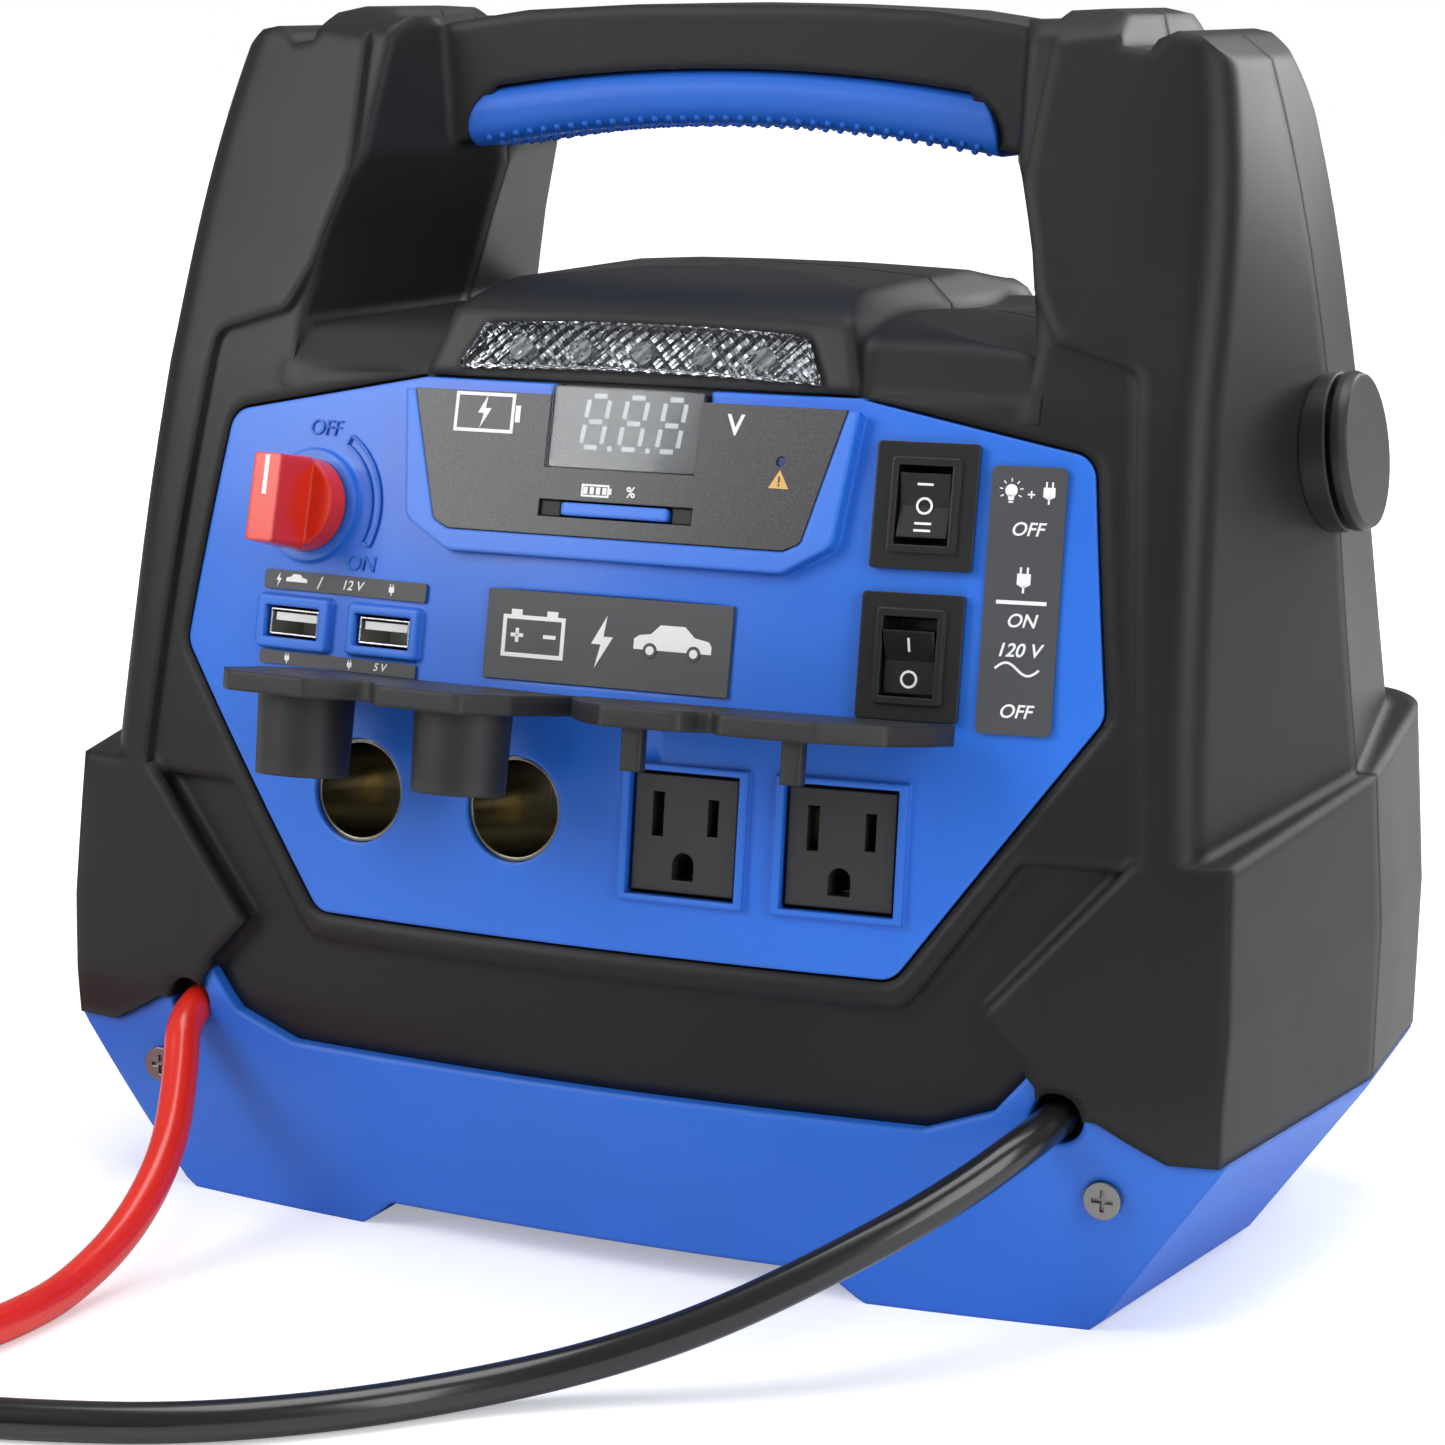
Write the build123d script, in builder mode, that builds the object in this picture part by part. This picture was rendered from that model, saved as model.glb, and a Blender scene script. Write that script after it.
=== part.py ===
# Portable jump starter pack: moulded two-half case with carrying handle, base tray,
# control panel, work lamp, 12 V sockets, mains outlets, battery and booster cables.
# Millimetres.  +Z up, front faces -Y, origin on the floor under the middle of the case.
from build123d import *
import math
import os

os.makedirs("parts", exist_ok=True)

# ---------------------------------------------------------------- driving dimensions
Y_SHIFT = 34.6          # design y of the origin
Y_PART = 61.0           # parting plane between the front and rear shells
Y_REAR = 122.0          # flat rear face
PLAN_R = 769.0          # radius of the bulging front in plan
WALL = 3.0
PANEL_T = 2.6
PANEL_GAP = 0.35
HANDLE_Y0, HANDLE_Y1 = 45.0, 77.0
GAP = 0.35              # gap between pieces of different bodies
KNOB_XZ = (-77.4, 160.4)
USB_L, USB_R = (-79.2, 134.8), (-55.0, 134.8)
SW_1, SW_2 = (68.5, 168.7), (68.3, 138.5)
AC_L, AC_R = (21.0, 98.5), (56.0, 98.5)
SOCK_L, SOCK_R = (-59.5, 100.2), (-19.9, 100.2)
SOCK_BORE = 21.0
SEAM_Z = 39.5
POST_Y, POST_Z = 61.0, 176.0
CABLE_D = 8.0
BATTERY = (181.0, 76.0, 167.0)


def yc(z):
    """Front profile on the centreline, design y at height z."""
    if z < 50:
        return -25.6 + 0.0269 * (50 - z) + 0.002157 * (50 - z) ** 2
    if z <= 190:
        return -24 + 0.10 * (z - 72.7) + 0.00078 * (z - 72.7) ** 2
    return yc(190) + 0.38 * (z - 190)


def fy(x, z):
    return yc(z) + x * x / (2 * PLAN_R)


def XZ(y):
    """Plane facing the front; local axes are x and z; positive extrusion goes to the front."""
    return Plane(origin=(0, y - Y_SHIFT, 0), x_dir=(1, 0, 0), z_dir=(0, -1, 0))


def XY(z):
    return Plane(origin=(0, -Y_SHIFT, z))


def YZ(x):
    """Plane facing +X; local axes are y and z."""
    return Plane(origin=(x, -Y_SHIFT, 0), x_dir=(0, 1, 0), z_dir=(1, 0, 0))


def FP(x, z, off=0.0):
    """Plane tangent to the case front at (x, z), moved off mm outwards."""
    e = 0.01
    fx = (fy(x + e, z) - fy(x - e, z)) / (2 * e)
    fz = (fy(x, z + e) - fy(x, z - e)) / (2 * e)
    p = Plane(origin=(x, fy(x, z) - Y_SHIFT, z), x_dir=(1, fx, 0), z_dir=(fx, -1, fz))
    return p.offset(off)


def mirrored(pts):
    """Half outline from the top centre to the bottom centre, closed by its mirror image."""
    left = [(-x, z) for x, z in reversed(pts) if abs(x) > 1e-6]
    return list(pts) + left


# ---------------------------------------------------------------- front surface tool
HALF_A = math.radians(13)
AXIS_Y = -24 + PLAN_R - Y_SHIFT


def front_tool(off):
    """Everything behind the case front moved off mm outwards (negative: inwards)."""
    zs = (-10, 20, 50, 120, 190, 290)
    r = {z: PLAN_R - (yc(z) + 24) + off for z in zs}
    a = HALF_A
    start = Plane(origin=(0, AXIS_Y, 0), x_dir=(-math.sin(a), -math.cos(a), 0), z_dir=(math.cos(a), -math.sin(a), 0))
    local_up = start.y_dir.Z
    k = 1 if local_up > 0 else -1
    with BuildPart() as tool:
        with BuildSketch(start):
            with BuildLine():
                Polyline((500, k * 290), (r[290], k * 290), (r[190], k * 190))
                ThreePointArc((r[190], k * 190), (r[120], k * 120), (r[50], k * 50))
                ThreePointArc((r[50], k * 50), (r[20], k * 20), (r[-10], k * -10))
                Polyline((r[-10], k * -10), (500, k * -10), (500, k * 290))
            make_face()
        revolve(axis=Axis((0, AXIS_Y, 0), (0, 0, 1)), revolution_arc=26)
    return tool.part


FT0 = front_tool(0)
FT_RAISED = front_tool(1.6)
FT_RECESS = front_tool(-3.0)
FT_IN = front_tool(-6.2)
FT_PANEL_BACK = front_tool(-PANEL_T)
FT_LIP = front_tool(-PANEL_T - 0.1)

# ---------------------------------------------------------------- case outlines (front elevation)
# tower block at the parting plane, and where its sides reach when carried on to y = -30 and y = 130
TOWER_MID = [(0, 269.6), (22, 269.2), (49, 267.9), (68, 265.2), (71.3, 264.4), (72.2, 266.4), (80.4, 266.2),
             (81.3, 268.2), (90, 268.6), (95, 267.2), (96.4, 261.2), (102.4, 260.2), (103.8, 262.6), (107.5, 264.2),
             (112, 263.4), (118.8, 258.2), (125.5, 233), (131.8, 200), (137.0, 158), (140.6, 122), (143.5, 96),
             (144.5, 60), (144.0, SEAM_Z), (143.0, 20), (0, 20)]
DRAFT_F = {20: 12, 60: 12, 96: 12, 122: 11.5, 158: 11, 200: 9.5, 233: 5, 258: 1}


def draft(z, table=DRAFT_F):
    ks = sorted(table)
    if z <= ks[0]:
        return table[ks[0]]
    for a, b in zip(ks, ks[1:]):
        if z <= b:
            return table[a] + (table[b] - table[a]) * (z - a) / (b - a)
    return table[ks[-1]] if z < 262 else 0.0


def drafted(pts, k):
    """The outline with its sides (x > 112) pulled in by k times the draft."""
    return [(x - k * draft(z) if x > 112 else x, z) for x, z in pts]


def tower_outline(k, d=0.0):
    """Closed outline lines for the tower block, drafted by k; the sides are smooth curves."""
    pts = drafted(TOWER_MID, k)
    tops, side = pts[:16], pts[15:-1]
    Polyline(*([(-x, z) for x, z in reversed(tops[1:])] + tops))
    Spline(*side)
    Spline(*[(-x, z) for x, z in side])
    Line(side[-1], (-side[-1][0], side[-1][1]))


INNER_MID = [(62.5, 238.0), (62.5, 236), (68.3, 220), (74.5, 201), (76, 190)]      # inner wall of a tower at the parting plane
INNER_FRONT = [(100, 300), (97, 262), (92, 226), (92, 205), (95, 190)]            # carried on to y = -30

with BuildPart() as tower_front:
    with BuildSketch(XZ(-30)):
        with BuildLine():
            tower_outline(91 / 61)
        make_face()
    with BuildSketch(XZ(Y_PART)):
        with BuildLine():
            tower_outline(0)
        make_face()
    loft(ruled=True)
    # the tops of the towers are domed from front to back
    with BuildSketch(YZ(-160)):
        with BuildLine():
            Polyline((-40, 240), (18, 240))
            Spline((18, 240), (27, 260), (40, 267.6), (Y_PART, 269.7), tangents=((0.5, 1), (1, 0)))
            Polyline((Y_PART, 269.7), (Y_PART + 2, 269.7), (Y_PART + 2, 300), (-40, 300), (-40, 240))
        make_face()
    extrude(amount=320, mode=Mode.SUBTRACT)

with BuildPart() as tower_rear:
    with BuildSketch(XZ(Y_PART)):
        with BuildLine():
            tower_outline(0)
        make_face()
    with BuildSketch(XZ(Y_REAR + 8)):
        with BuildLine():
            tower_outline(0.75)
        make_face()
    loft(ruled=True)
    # rear face: upright below, leaning forward above, rounded into the tower tops
    with BuildSketch(YZ(-160)):
        with BuildLine():
            Polyline((Y_PART - 2, 300), (Y_PART - 2, 269.7), (Y_PART, 269.7))
            Spline((Y_PART, 269.7), (84, 265.5), (95, 254), (100, 240), tangents=((1, 0), (0.17, -1)))
            Polyline((100, 240), (Y_REAR - 2, 128))
            Spline((Y_REAR - 2, 128), (Y_REAR, 104), tangents=((0.16, -1), (0, -1)))
            Polyline((Y_REAR, 104), (Y_REAR, -5), (150, -5), (150, 300), (Y_PART - 2, 300))
        make_face()
    extrude(amount=320, mode=Mode.SUBTRACT)

# lower side bulges
with BuildPart() as pods_front:
    with BuildSketch(XZ(-30)) as s:
        with BuildLine():
            Polyline((88.2, 67.0), (117, 98.6), (134.5, 98.6), (136.2, 66), (135.4, SEAM_Z), (133, 20), (101, 20), (98, 58), close=True)
        make_face()
    with BuildSketch(XZ(Y_PART)):
        with BuildLine():
            Polyline((88.2, 75.0), (117, 107), (146.6, 107), (148.8, 73.9), (148.0, SEAM_Z), (145.5, 20), (101, 20), (98, 58), close=True)
        make_face()
    loft(ruled=True)
    mirror(about=Plane.YZ)
with BuildPart() as pods_rear:
    with BuildSketch(XZ(Y_PART)):
        with BuildLine():
            Polyline((100, 107), (146.6, 107), (148.8, 73.9), (148.0, SEAM_Z), (145.5, 20), (100, 20), close=True)
        make_face()
    with BuildSketch(XZ(Y_REAR)):
        with BuildLine():
            Polyline((98, 115), (142.0, 115), (144.4, 73.9), (143.6, SEAM_Z), (141, 20), (98, 20), close=True)
        make_face()
    loft(ruled=True)
    mirror(about=Plane.YZ)

# raised outer faces of the towers, bounded by the step line
with BuildPart() as tower_faces:
    with BuildSketch(XZ(-60)) as s:
        with BuildLine():
            FilletPolyline((160, 10), (118.5, 10), (118.5, 99), (109.5, 197), (91, 202.5), (79.5, 224), (84, 300), (160, 300), radius=4, close=False)
            Line((160, 300), (160, 10))
        make_face()
    extrude(amount=-170)
    mirror(about=Plane.YZ)

with BuildPart() as raised_faces:
    add(FT_RAISED)
    add(tower_faces.part, mode=Mode.INTERSECT)
with BuildPart() as front_skin:
    add(FT0)
    add(raised_faces.part)
with BuildPart() as pod_block:
    add(pods_front.part)
    add(FT_RAISED, mode=Mode.INTERSECT)

# space between the towers: in front of the handle, behind it, and the hand hole under it
def inner_poly(mid, k, z0=190, wide=0.0):
    """Inner tower wall outline, moved k times its draft away from the centre."""
    return [(x + wide + k * dx, z) for (x, z), dx in zip(mid, (36, 36, 30, 22, 18))]


def pocket_outline(k, top):
    pts = inner_poly(INNER_MID, k)
    half = [(0, top), (pts[0][0] + 3 + k * 4, top)] + pts + [(0, 190)]
    return mirrored(half)


with BuildPart() as pocket_front:
    with BuildSketch(XZ(-30)):
        with BuildLine():
            Polyline(*pocket_outline(1.0, 300), close=True)
        make_face()
    with BuildSketch(XZ(HANDLE_Y0)):
        with BuildLine():
            Polyline(*pocket_outline((Y_PART - HANDLE_Y0) / 91, 300), close=True)
        make_face()
    loft(ruled=True)
with BuildPart() as pocket_rear:
    with BuildSketch(XZ(HANDLE_Y1)):
        with BuildLine():
            Polyline(*pocket_outline((HANDLE_Y1 - Y_PART) / 160, 300), close=True)
        make_face()
    with BuildSketch(XZ(Y_REAR + 10)):
        with BuildLine():
            Polyline(*pocket_outline(71 / 160, 300), close=True)
        make_face()
    loft(ruled=True)


def hand_outline(k):
    pts = inner_poly(INNER_MID, k)
    return mirrored([(0, 246.5), (30, 245), (52, 241.5)] + pts + [(0, 190)])


with BuildPart() as hand_front:
    with BuildSketch(XZ(HANDLE_Y0 - 1)):
        with BuildLine():
            Polyline(*hand_outline((Y_PART - HANDLE_Y0 + 1) / 91), close=True)
        make_face()
    with BuildSketch(XZ(Y_PART)):
        with BuildLine():
            Polyline(*hand_outline(0), close=True)
        make_face()
    loft(ruled=True)
with BuildPart() as hand_rear:
    with BuildSketch(XZ(Y_PART)):
        with BuildLine():
            Polyline(*hand_outline(0), close=True)
        make_face()
    with BuildSketch(XZ(HANDLE_Y1 + 1)):
        with BuildLine():
            Polyline(*hand_outline((HANDLE_Y1 + 1 - Y_PART) / 160), close=True)
        make_face()
    loft(ruled=True)

# shoulders between hood and towers, and the crowned hood that carries the work lamp
with BuildPart() as shoulders:
    with BuildSketch(XZ(-10)):
        with BuildLine():
            Polyline((-90, 186), (90, 186), (90, 198.5), (50, 204.5), (-50, 204.5), (-90, 198.5), close=True)
        make_face()
    extrude(amount=-132)
    with BuildSketch(YZ(-120)):
        with BuildLine():
            Polyline((-30, 180), (0.5, 180), (3.5, 190.5), (10, 199.5))
            Spline((10, 199.5), (18, 202.5), (40, 204.5), (90, 203), (112, 196), tangents=((1, 0.7), (1, -0.9)))
            Polyline((112, 196), (Y_REAR - 8, 186), (150, 186), (150, 240), (-30, 240), (-30, 180))
        make_face()
    extrude(amount=240, mode=Mode.SUBTRACT)
with BuildPart() as hood:
    with BuildSketch(XZ(-10)):
        with BuildLine():
            Polyline((-52, 186), (52, 186), (50.5, 193), (47, 204.5), (41.5, 210), (20, 211.8), (0, 212.3), (-20, 211.8), (-41.5, 210), (-47, 204.5), (-50.5, 193), close=True)
        make_face()
    extrude(amount=-132)
    with BuildSketch(YZ(-120)):
        with BuildLine():
            Polyline((-30, 180), (-2.0, 180), (0.2, 190.0), (6.5, 204.2))
            Spline((6.5, 204.2), (12, 207), (35, 211), (70, 212.3), (104, 207), (114, 199), tangents=((1, 0.75), (0.7, -1)))
            Polyline((114, 199), (Y_REAR - 3, 186), (150, 186), (150, 240), (-30, 240), (-30, 180))
        make_face()
    extrude(amount=240, mode=Mode.SUBTRACT)

with BuildPart() as half_front:
    with BuildSketch(XZ(Y_PART)):
        with Locations((0, 150)):
            Rectangle(400, 400)
    extrude(amount=130)
with BuildPart() as half_rear:
    with BuildSketch(XZ(Y_PART)):
        with Locations((0, 150)):
            Rectangle(400, 400)
    extrude(amount=-130)

with BuildPart() as outer_front:
    add(tower_front.part)
    add(front_skin.part, mode=Mode.INTERSECT)
    try:
        side = [e for e in outer_front.edges() if e.length > 8 and abs(e.center().X) > 119 and e.center().Y < 2 and e.tangent_at(0.5).Z ** 2 > 0.6]
        print([(round(e.center().X), round(e.center().Z), round(e.length)) for e in side])
        fillet(side, 9)
    except Exception as err:
        print("tower side edge left sharp", err)
    add(pocket_front.part, mode=Mode.SUBTRACT)
    add(hand_front.part, mode=Mode.SUBTRACT)
    add(pod_block.part)
with BuildPart() as hood_front:
    add(hood.part)
    add(shoulders.part)
    add(half_front.part, mode=Mode.INTERSECT)
with BuildPart() as hood_rear:
    add(hood.part)
    add(shoulders.part)
    add(half_rear.part, mode=Mode.INTERSECT)
with BuildPart() as outer_rear:
    add(tower_rear.part)
    add(pocket_rear.part, mode=Mode.SUBTRACT)
    add(hand_rear.part, mode=Mode.SUBTRACT)
    add(pods_rear.part)
    try:
        corner = [e for e in outer_rear.edges() if e.length > 12 and abs(e.center().X) > 100 and e.center().Y > Y_REAR - Y_SHIFT - 30 and e.tangent_at(0.5).Z ** 2 > 0.5]
        fillet(corner, 16)
    except Exception as err:
        print("rear corner left sharp", err)
    add(hood_rear.part)

# ---------------------------------------------------------------- seam between case and base tray
SEAM = [(0, 41.5), (76, 41.7), (91, 47), (98.3, 55.6), (100.2, 53.5), (100.6, 47.3), (112.6, 47.3), (119, 43.6),
        (127, SEAM_Z), (160, SEAM_Z)]
BASE_MID = [(148.0, SEAM_Z), (147.2, 37), (121.5, 1.5), (119, 0)]


def seam_region(g):
    """Front elevation of all that lies below the seam, raised by g."""
    top = [(x, z + g) for x, z in SEAM]
    return mirrored(top + [(160, -20), (0, -20)])


with BuildPart() as below_front:
    with BuildSketch(XZ(12)):
        with BuildLine():
            Polyline(*seam_region(0.15), close=True)
        make_face()
    extrude(amount=90)
with BuildPart() as below_rest:
    with BuildSketch(XZ(12)):
        with BuildLine():
            Polyline((-170, -20), (170, -20), (170, SEAM_Z + 0.15), (-170, SEAM_Z + 0.15), close=True)
        make_face()
    extrude(amount=-130)
with BuildPart() as below_front_tight:
    with BuildSketch(XZ(12)):
        with BuildLine():
            Polyline(*seam_region(0.0), close=True)
        make_face()
    extrude(amount=90)
with BuildPart() as below_rest_tight:
    with BuildSketch(XZ(12)):
        with BuildLine():
            Polyline((-170, -20), (170, -20), (170, SEAM_Z), (-170, SEAM_Z), close=True)
        make_face()
    extrude(amount=-130)

# ---------------------------------------------------------------- case interior
CAV_MID = [(0, 186), (82, 186), (80, 200), (76, 232), (82, 253), (108, 253), (117, 233), (126, 200), (132, 158),
           (136, 122), (139, 96), (140, 60), (139, 24), (0, 24)]
CAV_FRONT = [(0, 184), (101, 184), (101, 200), (100, 232), (101, 253), (106, 253), (109.5, 233), (112, 200), (115.5, 158),
             (119, 122), (121, 96), (122, 60), (121, 24), (0, 24)]
CAV_REAR = [(0, 178), (90, 178), (88, 200), (86, 225), (90, 232), (104, 232), (108, 220), (113, 200), (119, 158),
            (123, 122), (126, 96), (127, 60), (126, 24), (0, 24)]
with BuildPart() as cavity_front:
    with BuildSketch(XZ(-30)):
        with BuildLine():
            Polyline(*mirrored(CAV_FRONT), close=True)
        make_face()
    with BuildSketch(XZ(Y_PART)):
        with BuildLine():
            Polyline(*mirrored(CAV_MID), close=True)
        make_face()
    loft(ruled=True)
    add(FT_IN, mode=Mode.INTERSECT)
with BuildPart() as cavity_rear:
    with BuildSketch(XZ(Y_PART)):
        with BuildLine():
            Polyline(*mirrored(CAV_MID), close=True)
        make_face()
    with BuildSketch(XZ(Y_REAR - WALL)):
        with BuildLine():
            Polyline(*mirrored(CAV_REAR), close=True)
        make_face()
    loft(ruled=True)
    with BuildSketch(YZ(-160)):
        with BuildLine():
            Polyline((88, 300), (92, 240), (Y_REAR - 6, 120), (Y_REAR - WALL, 100), (Y_REAR - WALL, -5), (160, -5), (160, 300), close=True)
        make_face()
    extrude(amount=320, mode=Mode.SUBTRACT)
with BuildPart() as hood_space:
    with BuildSketch(YZ(-37)):
        with BuildLine():
            Polyline((6, 178), (10, 190), (14, 203), (36, 207.5), (90, 205.5), (104, 196), (104, 178), close=True)
        make_face()
    extrude(amount=74)

# ---------------------------------------------------------------- panel outline
with BuildPart() as panel_blank:
    with BuildSketch(XZ(30)):
        with BuildLine():
            FilletPolyline((51, 189.6), (102.2, 179.6), (109.1, 128.3), (68.7, 72.6), (-68.7, 72.6), (-109.1, 128.3), (-102.2, 179.6), (-51, 189.6), radius=5.5, close=True)
        make_face()
    extrude(amount=90)
with BuildPart() as panel_pocket:
    with BuildSketch(XZ(30)):
        with BuildLine():
            FilletPolyline((51, 189.6), (102.2, 179.6), (109.1, 128.3), (68.7, 72.6), (-68.7, 72.6), (-109.1, 128.3), (-102.2, 179.6), (-51, 189.6), radius=5.5, close=True)
        make_face()
        offset(amount=0.7)
    extrude(amount=90)
with BuildPart() as panel_hole:
    with BuildSketch(XZ(60)):
        with BuildLine():
            FilletPolyline((49, 184.5), (97.5, 175.5), (104, 128.3), (66.5, 77), (-66.5, 77), (-104, 128.3), (-97.5, 175.5), (-49, 184.5), radius=4, close=True)
        make_face()
    extrude(amount=120)
with BuildPart() as panel_lip:                       # where the shell is left behind the panel
    add(panel_pocket.part)
    add(FT_LIP, mode=Mode.SUBTRACT)

with BuildPart() as low_recess:                      # face under the panel, between the side bulges
    with BuildSketch(XZ(30)):
        with BuildLine():
            FilletPolyline((70.5, 66.6), (74.2, 70.5), (94, 98.5), (118.5, 98.5), (118.5, 20), (-118.5, 20), (-118.5, 98.5), (-94, 98.5), (-74.2, 70.5), (-70.5, 66.6), radius=2, close=True)
        make_face()
    extrude(amount=90)
    add(FT_RECESS, mode=Mode.SUBTRACT)

# ---------------------------------------------------------------- lamp opening in the hood
LAMP = Plane(origin=(0, 1.0 - Y_SHIFT, 197.6), x_dir=(1, 0, 0), z_dir=(0, -1, 0.42))


def lamp_outline(grow):
    """Arched lens outline in the lamp plane."""
    w0, w1, h0, h1, a0, a1 = 42.6 + grow, 37.6 + grow, -5.1 - grow, 4.6 + grow, 1.0, 1.2
    Line((-w0, h0), (-w1, h1))
    ThreePointArc((-w1, h1), (0, h1 + a1), (w1, h1))
    Line((w1, h1), (w0, h0))
    ThreePointArc((w0, h0), (0, h0 + a0), (-w0, h0))


with BuildPart() as lamp_hole:
    with BuildSketch(LAMP.offset(-16)):
        with BuildLine():
            lamp_outline(0.25)
        make_face()
    extrude(amount=40)

# ---------------------------------------------------------------- handle grip sleeve
with BuildPart() as handle_grip:
    with BuildSketch(XZ(Y_PART)):
        with BuildLine():
            p1, p2, p3 = (-57.5, 250.9), (0, 255.3), (57.5, 250.9)
            q1, q2, q3 = (63.6, 237.2), (0, 243.2), (-63.6, 237.2)
            ThreePointArc(p1, p2, p3)
            ThreePointArc(p3, (62.8, 246.0), q1)
            ThreePointArc(q1, q2, q3)
            ThreePointArc(q3, (-62.8, 246.0), p1)
        make_face()
    extrude(amount=17.6, both=True)
    try:
        low = [e for e in handle_grip.edges() if abs(e.tangent_at(0.5).X) > 0.9]
        fillet(low, 5.5)
    except Exception as err:
        print("grip edges left sharp", err)
with BuildPart() as grip_space:
    with BuildSketch(XZ(Y_PART)):
        with BuildLine():
            ThreePointArc((-57.6, 251.0), (0, 255.4), (57.6, 251.0))
            Polyline((57.6, 251.0), (63.7, 237.1), (63.7, 225), (-63.7, 225), (-63.7, 237.1), (-57.6, 251.0))
        make_face()
    extrude(amount=30, both=True)
# ---------------------------------------------------------------- clamp posts on the sides
POST_A = math.radians(7)


def post_plane(sgn, off=0.0):
    """Plane square to a side of the case at a clamp post, off millimetres outside it."""
    z = Vector(sgn * math.cos(POST_A), 0, math.sin(POST_A))
    return Plane(origin=Vector(sgn * 134.8, POST_Y - Y_SHIFT, POST_Z) + z * off, x_dir=(0, 1, 0), z_dir=z)


with BuildPart() as clamp_posts:
    for sgn in (1, -1):
        with BuildSketch(post_plane(sgn, -3.0)):
            Circle(17)
        extrude(amount=6.2)
    add(outer_front.part, mode=Mode.SUBTRACT)
    add(outer_rear.part, mode=Mode.SUBTRACT)
    for sgn in (1, -1):
        with BuildSketch(post_plane(sgn, -6.0)):
            Circle(13.6)
        extrude(amount=11.0)
        with BuildSketch(post_plane(sgn, 4.4)):
            Circle(17)
        extrude(amount=1.8)
        with BuildSketch(post_plane(sgn, 6.2)):
            Circle(17)
        extrude(amount=1.6, taper=25)
print("posts", [round(q.volume) for q in clamp_posts.part.solids()])
clamp_posts.part.label = "clamp_posts"
export_step(clamp_posts.part, "parts/clamp_posts.step")
with BuildPart() as post_holes:
    for sgn in (1, -1):
        with BuildSketch(post_plane(sgn, -12.0)):
            Circle(13.8)
        extrude(amount=16)

# ---------------------------------------------------------------- front shell
EXIT_X, EXIT_Z = 104.4, 47.3
with BuildPart() as front_shell:
    add(outer_front.part)
    add(hood_front.part)
    add(low_recess.part, mode=Mode.SUBTRACT)
    add(pod_block.part)
    add(cavity_front.part, mode=Mode.SUBTRACT)
    add(hood_space.part, mode=Mode.SUBTRACT)
    add(below_front.part, mode=Mode.SUBTRACT)
    add(below_rest.part, mode=Mode.SUBTRACT)
    add(panel_lip.part, mode=Mode.SUBTRACT)
    add(panel_hole.part, mode=Mode.SUBTRACT)
    add(lamp_hole.part, mode=Mode.SUBTRACT)
    add(grip_space.part, mode=Mode.SUBTRACT)
    add(handle_grip.part, mode=Mode.SUBTRACT)
    with BuildSketch(XZ(10)):
        with Locations((EXIT_X, EXIT_Z), (-EXIT_X, EXIT_Z)):
            Circle(CABLE_D / 2 + 1.6)
    extrude(amount=60, mode=Mode.SUBTRACT)
    add(post_holes.part, mode=Mode.SUBTRACT)
print("front shell", front_shell.part.volume, [round(q.volume) for q in front_shell.part.solids()])
with BuildPart() as rear_shell:
    add(outer_rear.part)
    add(cavity_rear.part, mode=Mode.SUBTRACT)
    add(hood_space.part, mode=Mode.SUBTRACT)
    add(below_rest.part, mode=Mode.SUBTRACT)
    add(grip_space.part, mode=Mode.SUBTRACT)
    add(handle_grip.part, mode=Mode.SUBTRACT)
    add(post_holes.part, mode=Mode.SUBTRACT)
print("rear shell", rear_shell.part.volume, [round(q.volume) for q in rear_shell.part.solids()])

front_shell.part.label = "front_shell"
export_step(front_shell.part, "parts/front_shell.step")
rear_shell.part.label = "rear_shell"
export_step(rear_shell.part, "parts/rear_shell.step")
handle_grip.part.label = "handle_grip"
export_step(handle_grip.part, "parts/handle_grip.step")

# ---------------------------------------------------------------- base tray
with BuildPart() as base_tray:
    with BuildSketch(XZ(-30)):
        with BuildLine():
            Polyline(*mirrored([(0, 60), (136.2, 60), (136.0, SEAM_Z), (134.5, 37), (109.5, 2), (107, 0), (61.5, 0), (59.5, 1.2), (53, 6.5), (0, 6.5)]), close=True)
        make_face()
    with BuildSketch(XZ(Y_PART)):
        with BuildLine():
            Polyline(*mirrored([(0, 60), (148.4, 60), (148.2, SEAM_Z), (146.8, 37), (121.5, 2), (119, 0), (61.5, 0), (59.5, 1.2), (53, 6.5), (0, 6.5)]), close=True)
        make_face()
    loft(ruled=True)
    with BuildSketch(XZ(Y_PART)):
        with BuildLine():
            Polyline(*mirrored([(0, 60), (148.4, 60), (148.2, SEAM_Z), (146.8, 37), (121.5, 2), (119, 0), (61.5, 0), (59.5, 1.2), (53, 6.5), (0, 6.5)]), close=True)
        make_face()
    with BuildSketch(XZ(Y_REAR)):
        with BuildLine():
            Polyline(*mirrored([(0, 60), (144.2, 60), (143.8, SEAM_Z), (142.4, 37), (117.1, 2), (115, 0), (61.5, 0), (59.5, 1.2), (53, 6.5), (0, 6.5)]), close=True)
        make_face()
    loft(ruled=True)
    for z0, x0, z1, x1 in ((-1.0, 114.0, 37.0, 142.4), (37.0, 142.4, 62.0, 144.3)):
        for sgn in (1, -1):
            for z, x in ((z0, x0), (z1, x1)):
                with BuildSketch(XY(z)):
                    with BuildLine():
                        ThreePointArc((sgn * (x - 16), Y_REAR), (sgn * (x - 16 + 16 * math.sin(math.pi / 4)), Y_REAR - 16 + 16 * math.cos(math.pi / 4)), (sgn * x, Y_REAR - 16))
                        Polyline((sgn * x, Y_REAR - 16), (sgn * (x + 6), Y_REAR - 16), (sgn * (x + 6), Y_REAR + 3), (sgn * (x - 16), Y_REAR + 3), (sgn * (x - 16), Y_REAR))
                    make_face()
            loft(ruled=True, mode=Mode.SUBTRACT)
    add(FT0, mode=Mode.INTERSECT)
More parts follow.
